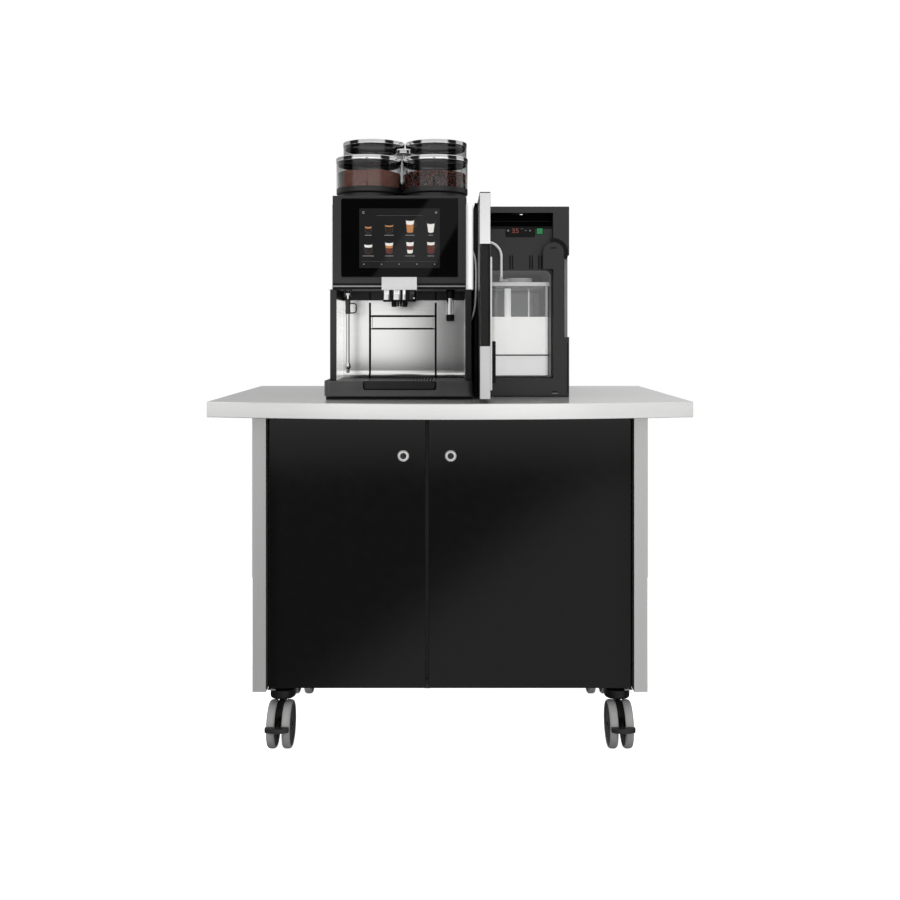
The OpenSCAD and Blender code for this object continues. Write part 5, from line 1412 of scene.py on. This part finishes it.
# %% Milk container
MILK_BOX = round_box(112.0, -122.0, 276.0, 98.0, 14.0, 6)
BOX_LOW, BOX_TOP, BOX_WALL, MILK_TOP, MILK_INSET = 995.3, 1246.3, 2.5, 1161.0, 3.0


def container():
    lip = BOX_TOP - 0.8
    loops = [(BOX_WALL, BOX_LOW + BOX_WALL), (BOX_WALL, lip), (BOX_WALL - 0.6, BOX_TOP), (0.6, BOX_TOP),
             (0.0, lip), (0.0, MILK_TOP + 0.5)]
    loops += rim(3.0, BOX_LOW, BOX_TOP)[3::-1]
    return loft([(MILK_BOX(inset), w) for inset, w in loops])


# The front right corner above the milk gets a painted highlight.
def corner_highlight_rule(spot, look):
    at_corner = spot.y < -100.0 and 0.3 < look.x < 0.7 and look.y < -0.7
    return 5 if at_corner and spot.z > MILK_TOP + 1.0 else 0


def within_wall(inset):
    return MILK_BOX(MILK_INSET + inset)


milk_wall = Shape().join(painted(container(), corner_highlight_rule))
milk_wall.add(slab(within_wall, 1055.0, MILK_TOP, "z", 1.0), 1)
milk_wall.add(slab(within_wall, 998.4, 1053.5, "z", 2.0), 3)
milk_wall.add(block((233.5, 90.5, MILK_TOP + 0.2), (237.5, 94.0, 1240.0), 0.8), 4)
band = [(-0.35, 1053.0), (-0.35, 1056.0), (0.4, 1056.4), (0.4, 1052.6)]
milk_wall.add(loft([(MILK_BOX(i), w) for i, w in band + band[:1]]), 2)
piece("milk_box", milk_wall, "milk_container", [CLEAR_CUP, MILK_GLOW, HUB_GREY, MILK_FOOT_GLOW, PIPE_WHITE_GLOW, LID_EDGE_HIGHLIGHT],
      ["milk_container"])

# %% [markdown]
# The container's lid is frosted, with a pale front edge that is a painted highlight, a darker plug below it
# and a white suction pipe that hangs down into the milk. Pipe, plug, edge and lid all glow faintly, painted
# light from the lamp in the niche. It is one CAD solid, so one softened copy is told apart by height: pipe,
# plug, edge and lid.

# %% Milk lid
PIPE_TOP, PLUG_TOP, EDGE_TOP = 1239.9, 1246.2, 1258.0


# Pipe, plug, edge and lid all glow as painted light; the front edge is a painted highlight.
def cover_rule(spot, look):
    if spot.z < PLUG_TOP:
        return 0 if spot.z < PIPE_TOP else 2
    return 3 if spot.z < EDGE_TOP and look.y < -0.5 and spot.y < -100.0 else 1


piece("milk_cover", painted(softened("milk_lid", 0.8), cover_rule), "milk_container",
      [PIPE_WHITE_GLOW, LID_FROST_GLOW, LID_PLUG_GLOW, LID_EDGE_HIGHLIGHT], ["milk_lid"])

# %% [markdown]
# Last come the world, the floor and the lights. The world is what polished parts mirror: bright in front, a
# dark flag on each side of it, a bright strip far right and greys behind, as in a photographer's tent. The
# camera itself sees plain white. An image of a studio would be the usual way, but it can't be a file here,
# so the levels are worked out from the direction of view with a few sums.

# %% Sums for the world
class Sums:
    def __init__(self, tree):
        self.tree = tree

    def calc(self, op, a, b=0.0):
        made = place(self.tree, "ShaderNodeMath", operation=op)
        for i, value in enumerate((a, b)):
            if isinstance(value, (int, float)):
                made.inputs[i].default_value = value
            else:
                self.tree.links.new(value, made.inputs[i])
        return made.outputs[0]

    def times(self, a, b):
        return self.calc("MULTIPLY", a, b)

    def rest_of(self, share):
        return self.calc("SUBTRACT", 1.0, share)

    def step(self, value, low, high):
        made = place(self.tree, "ShaderNodeMapRange", {"From Min": low, "From Max": high},
                     interpolation_type="SMOOTHSTEP")
        self.tree.links.new(value, made.inputs["Value"])
        return made.outputs["Result"]

    def window(self, value, low, low_end, high, high_end):
        return self.times(self.step(value, low, low_end), self.rest_of(self.step(value, high, high_end)))

    def blend(self, share, a, b):
        return self.calc("ADD", self.times(self.rest_of(share), a), self.times(share, b))


print("world helper:", Sums.__name__)

# %% [markdown]
# TENT lists levels by angle from straight ahead, to the left below zero. On top of it come three things
# that flat parts mirror: a brighter front at eye level, a sheen low on the right for the doors, and a dark
# flag with one lighter slanting stripe for the display glass, which would be a white sheet without it.

# %% Studio world
TENT = ((-180, 0.56), (-168, 0.42), (-155, 0.6), (-100, 0.6), (-94, 0.03), (-60, 0.03), (-52, 1.1), (42, 1.1),
        (48, 0.03), (78, 0.03), (84, 0.9), (116, 0.9), (122, 0.03), (150, 0.05), (165, 0.64), (180, 0.58))
SKY, GROUND, HIGH_BAND = 0.9, 0.12, 0.55
FRONT_MIDDLE, FRONT_SIDES, DOOR_SHEEN = 1.6, 1.15, 0.85
FLAG, STRIPE = 0.04, 0.3


def tent_ramp(tree, share):
    ramp = tree.nodes.new("ShaderNodeValToRGB")
    tree.links.new(share, ramp.inputs["Fac"])
    elements = ramp.color_ramp.elements
    while len(elements) < len(TENT):
        elements.new(0.5)
    for element, (angle, value) in zip(elements, TENT):
        element.position, element.color = (angle + 180) / 360, (value, value, value, 1)
    return ramp.outputs["Color"]


def tent_level(sums, around, z):
    level = sums.times(around, sums.blend(sums.window(z, 0.14, 0.165, 0.3, 0.45), 1.0, HIGH_BAND))
    level = sums.blend(sums.step(z, 0.3, 0.6), level, SKY)
    return sums.blend(sums.step(sums.times(z, -1.0), 0.1, 0.15), level, GROUND)


def front_level(sums, level, x, forward, z):
    ahead = sums.step(forward, 0.5, 0.7)
    across, rise = sums.calc("DIVIDE", x, forward), sums.calc("DIVIDE", z, forward)

    def beyond(slope, shift, soft):
        line = sums.calc("ADD", sums.calc("SUBTRACT", across, sums.times(rise, slope)), shift)
        return sums.step(line, -soft, soft)

    front = sums.times(ahead, sums.window(rise, -0.1, -0.08, 0.13, 0.155))
    sides = sums.step(sums.calc("ABSOLUTE", across), 0.3, 0.55)
    level = sums.blend(front, level, sums.blend(sides, FRONT_MIDDLE, FRONT_SIDES))
    below = sums.step(sums.times(rise, -1.0), 0.12, 0.16)
    level = sums.blend(sums.times(sums.times(beyond(1.213, -0.3134, 0.06), ahead), below), level, DOOR_SHEEN)
    flag_wide = sums.times(ahead, sums.window(across, -0.14, -0.13, 0.03, 0.04))
    flag = sums.times(sums.window(rise, 0.04, 0.05, 0.145, 0.15), flag_wide)
    stripe = sums.times(beyond(0.73, 0.1156, 0.002), sums.rest_of(beyond(0.583, 0.0538, 0.002)))
    return sums.blend(flag, level, sums.blend(stripe, FLAG, STRIPE))


def studio_world():
    world = bpy.data.worlds.new("studio")
    world.use_nodes = True
    tree = world.node_tree
    tree.nodes.clear()
    sums, link = Sums(tree), tree.links.new
    way = place(tree, "ShaderNodeSeparateXYZ")
    link(tree.nodes.new("ShaderNodeTexCoord").outputs["Generated"], way.inputs["Vector"])
    x, y, z = way.outputs
    forward = sums.times(y, -1.0)
    turn = sums.calc("DIVIDE", sums.calc("ARCTAN2", x, forward), math.pi)
    around = tent_ramp(tree, sums.calc("ADD", sums.times(turn, 0.5), 0.5))
    level = front_level(sums, tent_level(sums, around, z), x, forward, z)
    seen = tree.nodes.new("ShaderNodeLightPath").outputs["Is Camera Ray"]
    back, out = tree.nodes.new("ShaderNodeBackground"), tree.nodes.new("ShaderNodeOutputWorld")
    link(sums.blend(seen, level, 1.0), back.inputs["Color"])
    link(back.outputs["Background"], out.inputs["Surface"])
    scene.world = world
    return len(tree.nodes)


print("world nodes:", studio_world())

# %% [markdown]
# The floor is a pale disc that glows just enough to melt into the white, and it neither mirrors in the cart
# nor tints it. A card stands close in front of the cup bay, where only reflections see it. It fades to the
# right and at its foot, and the steel splash mirrors that fade. A photographer would hang a sheet of paper
# there.

# %% Floor and card
FLOOR_RADIUS, CARD_Y, CARD_LEFT, CARD_RIGHT, CARD_LOW, CARD_TOP = 1.9, -0.47, -0.6, 0.068, 0.945, 1.225
FLOOR = finish("pale_floor", "#f4f4f4", "#fafafa", (0.6, 0.7), SMUDGE, 2, 1.0, glow=1.0)
disc = bmesh.new()
bmesh.ops.create_circle(disc, cap_ends=True, segments=96, radius=FLOOR_RADIUS)
mesh = bpy.data.meshes.new("floor")
disc.to_mesh(mesh)
disc.free()
mesh.materials.append(FLOOR)
floor = bpy.data.objects.new("floor", mesh)
floor.location.z = -0.001
scene.collection.objects.link(floor)
floor.visible_glossy = floor.visible_diffuse = False


def gradient_card():
    material = bpy.data.materials.new("gradient_card")
    material.use_nodes = True
    tree = material.node_tree
    tree.nodes.clear()
    spot, shine = tree.nodes.new("ShaderNodeSeparateXYZ"), tree.nodes.new("ShaderNodeEmission")
    out = tree.nodes.new("ShaderNodeOutputMaterial")

    def fade(low, high, start, end):
        limits = {"From Min": low, "From Max": high, "To Min": start, "To Max": end}
        return place(tree, "ShaderNodeMapRange", limits, interpolation_type="SMOOTHSTEP")

    across, up = fade(-0.21, 0.03, 1.12, 0.15), fade(0.998, 1.044, 0.15, 1.0)
    both = place(tree, "ShaderNodeMath", operation="MULTIPLY")
    for a, b in ((tree.nodes.new("ShaderNodeTexCoord").outputs["Object"], spot.inputs["Vector"]),
                 (spot.outputs["X"], across.inputs["Value"]), (spot.outputs["Z"], up.inputs["Value"]),
                 (across.outputs["Result"], both.inputs[0]), (up.outputs["Result"], both.inputs[1]),
                 (both.outputs[0], shine.inputs["Strength"]),
                 (shine.outputs["Emission"], out.inputs["Surface"])):
        tree.links.new(a, b)
    sheet = bpy.data.meshes.new("gradient_card")
    corners = ((CARD_LEFT, CARD_LOW), (CARD_RIGHT, CARD_LOW), (CARD_RIGHT, CARD_TOP), (CARD_LEFT, CARD_TOP))
    sheet.from_pydata([(x, CARD_Y, z) for x, z in corners], [], [(0, 1, 2, 3)])
    sheet.materials.append(material)
    card = bpy.data.objects.new("gradient_card", sheet)
    card.visible_camera = card.visible_diffuse = card.visible_transmission = card.visible_shadow = False
    scene.collection.objects.link(card)
    return card


print("stage:", floor.name, gradient_card().name)

# %% [markdown]
# Three large soft area lights give the form: a key from the left, a weaker fill from the right and one from
# above. They stay out of the camera's sight and out of all mirrors, which already have the world to show.
# Their power is in watts. Small lamps would throw hard shadows that a tent doesn't have.

# %% Lights
def soft_light(name, where, target, size, power):
    light = bpy.data.lights.new(name, "AREA")
    light.shape, light.energy = "RECTANGLE", power
    light.size, light.size_y = size
    obj = bpy.data.objects.new(name, light)
    obj.location = where
    obj.rotation_euler = (Vector(target) - Vector(where)).to_track_quat("-Z", "Y").to_euler()
    obj.visible_camera = obj.visible_glossy = obj.visible_transmission = False
    scene.collection.objects.link(obj)


soft_light("key_left", (-2.4, -2.4, 2.5), (0, 0, 0.8), (1.6, 1.6), 60)
soft_light("fill_right", (2.6, -1.6, 1.6), (0, 0, 0.8), (1.0, 1.8), 22)
soft_light("top_light", (0, 0.2, 3.4), (0, 0, 0.9), (2.4, 1.6), 60)
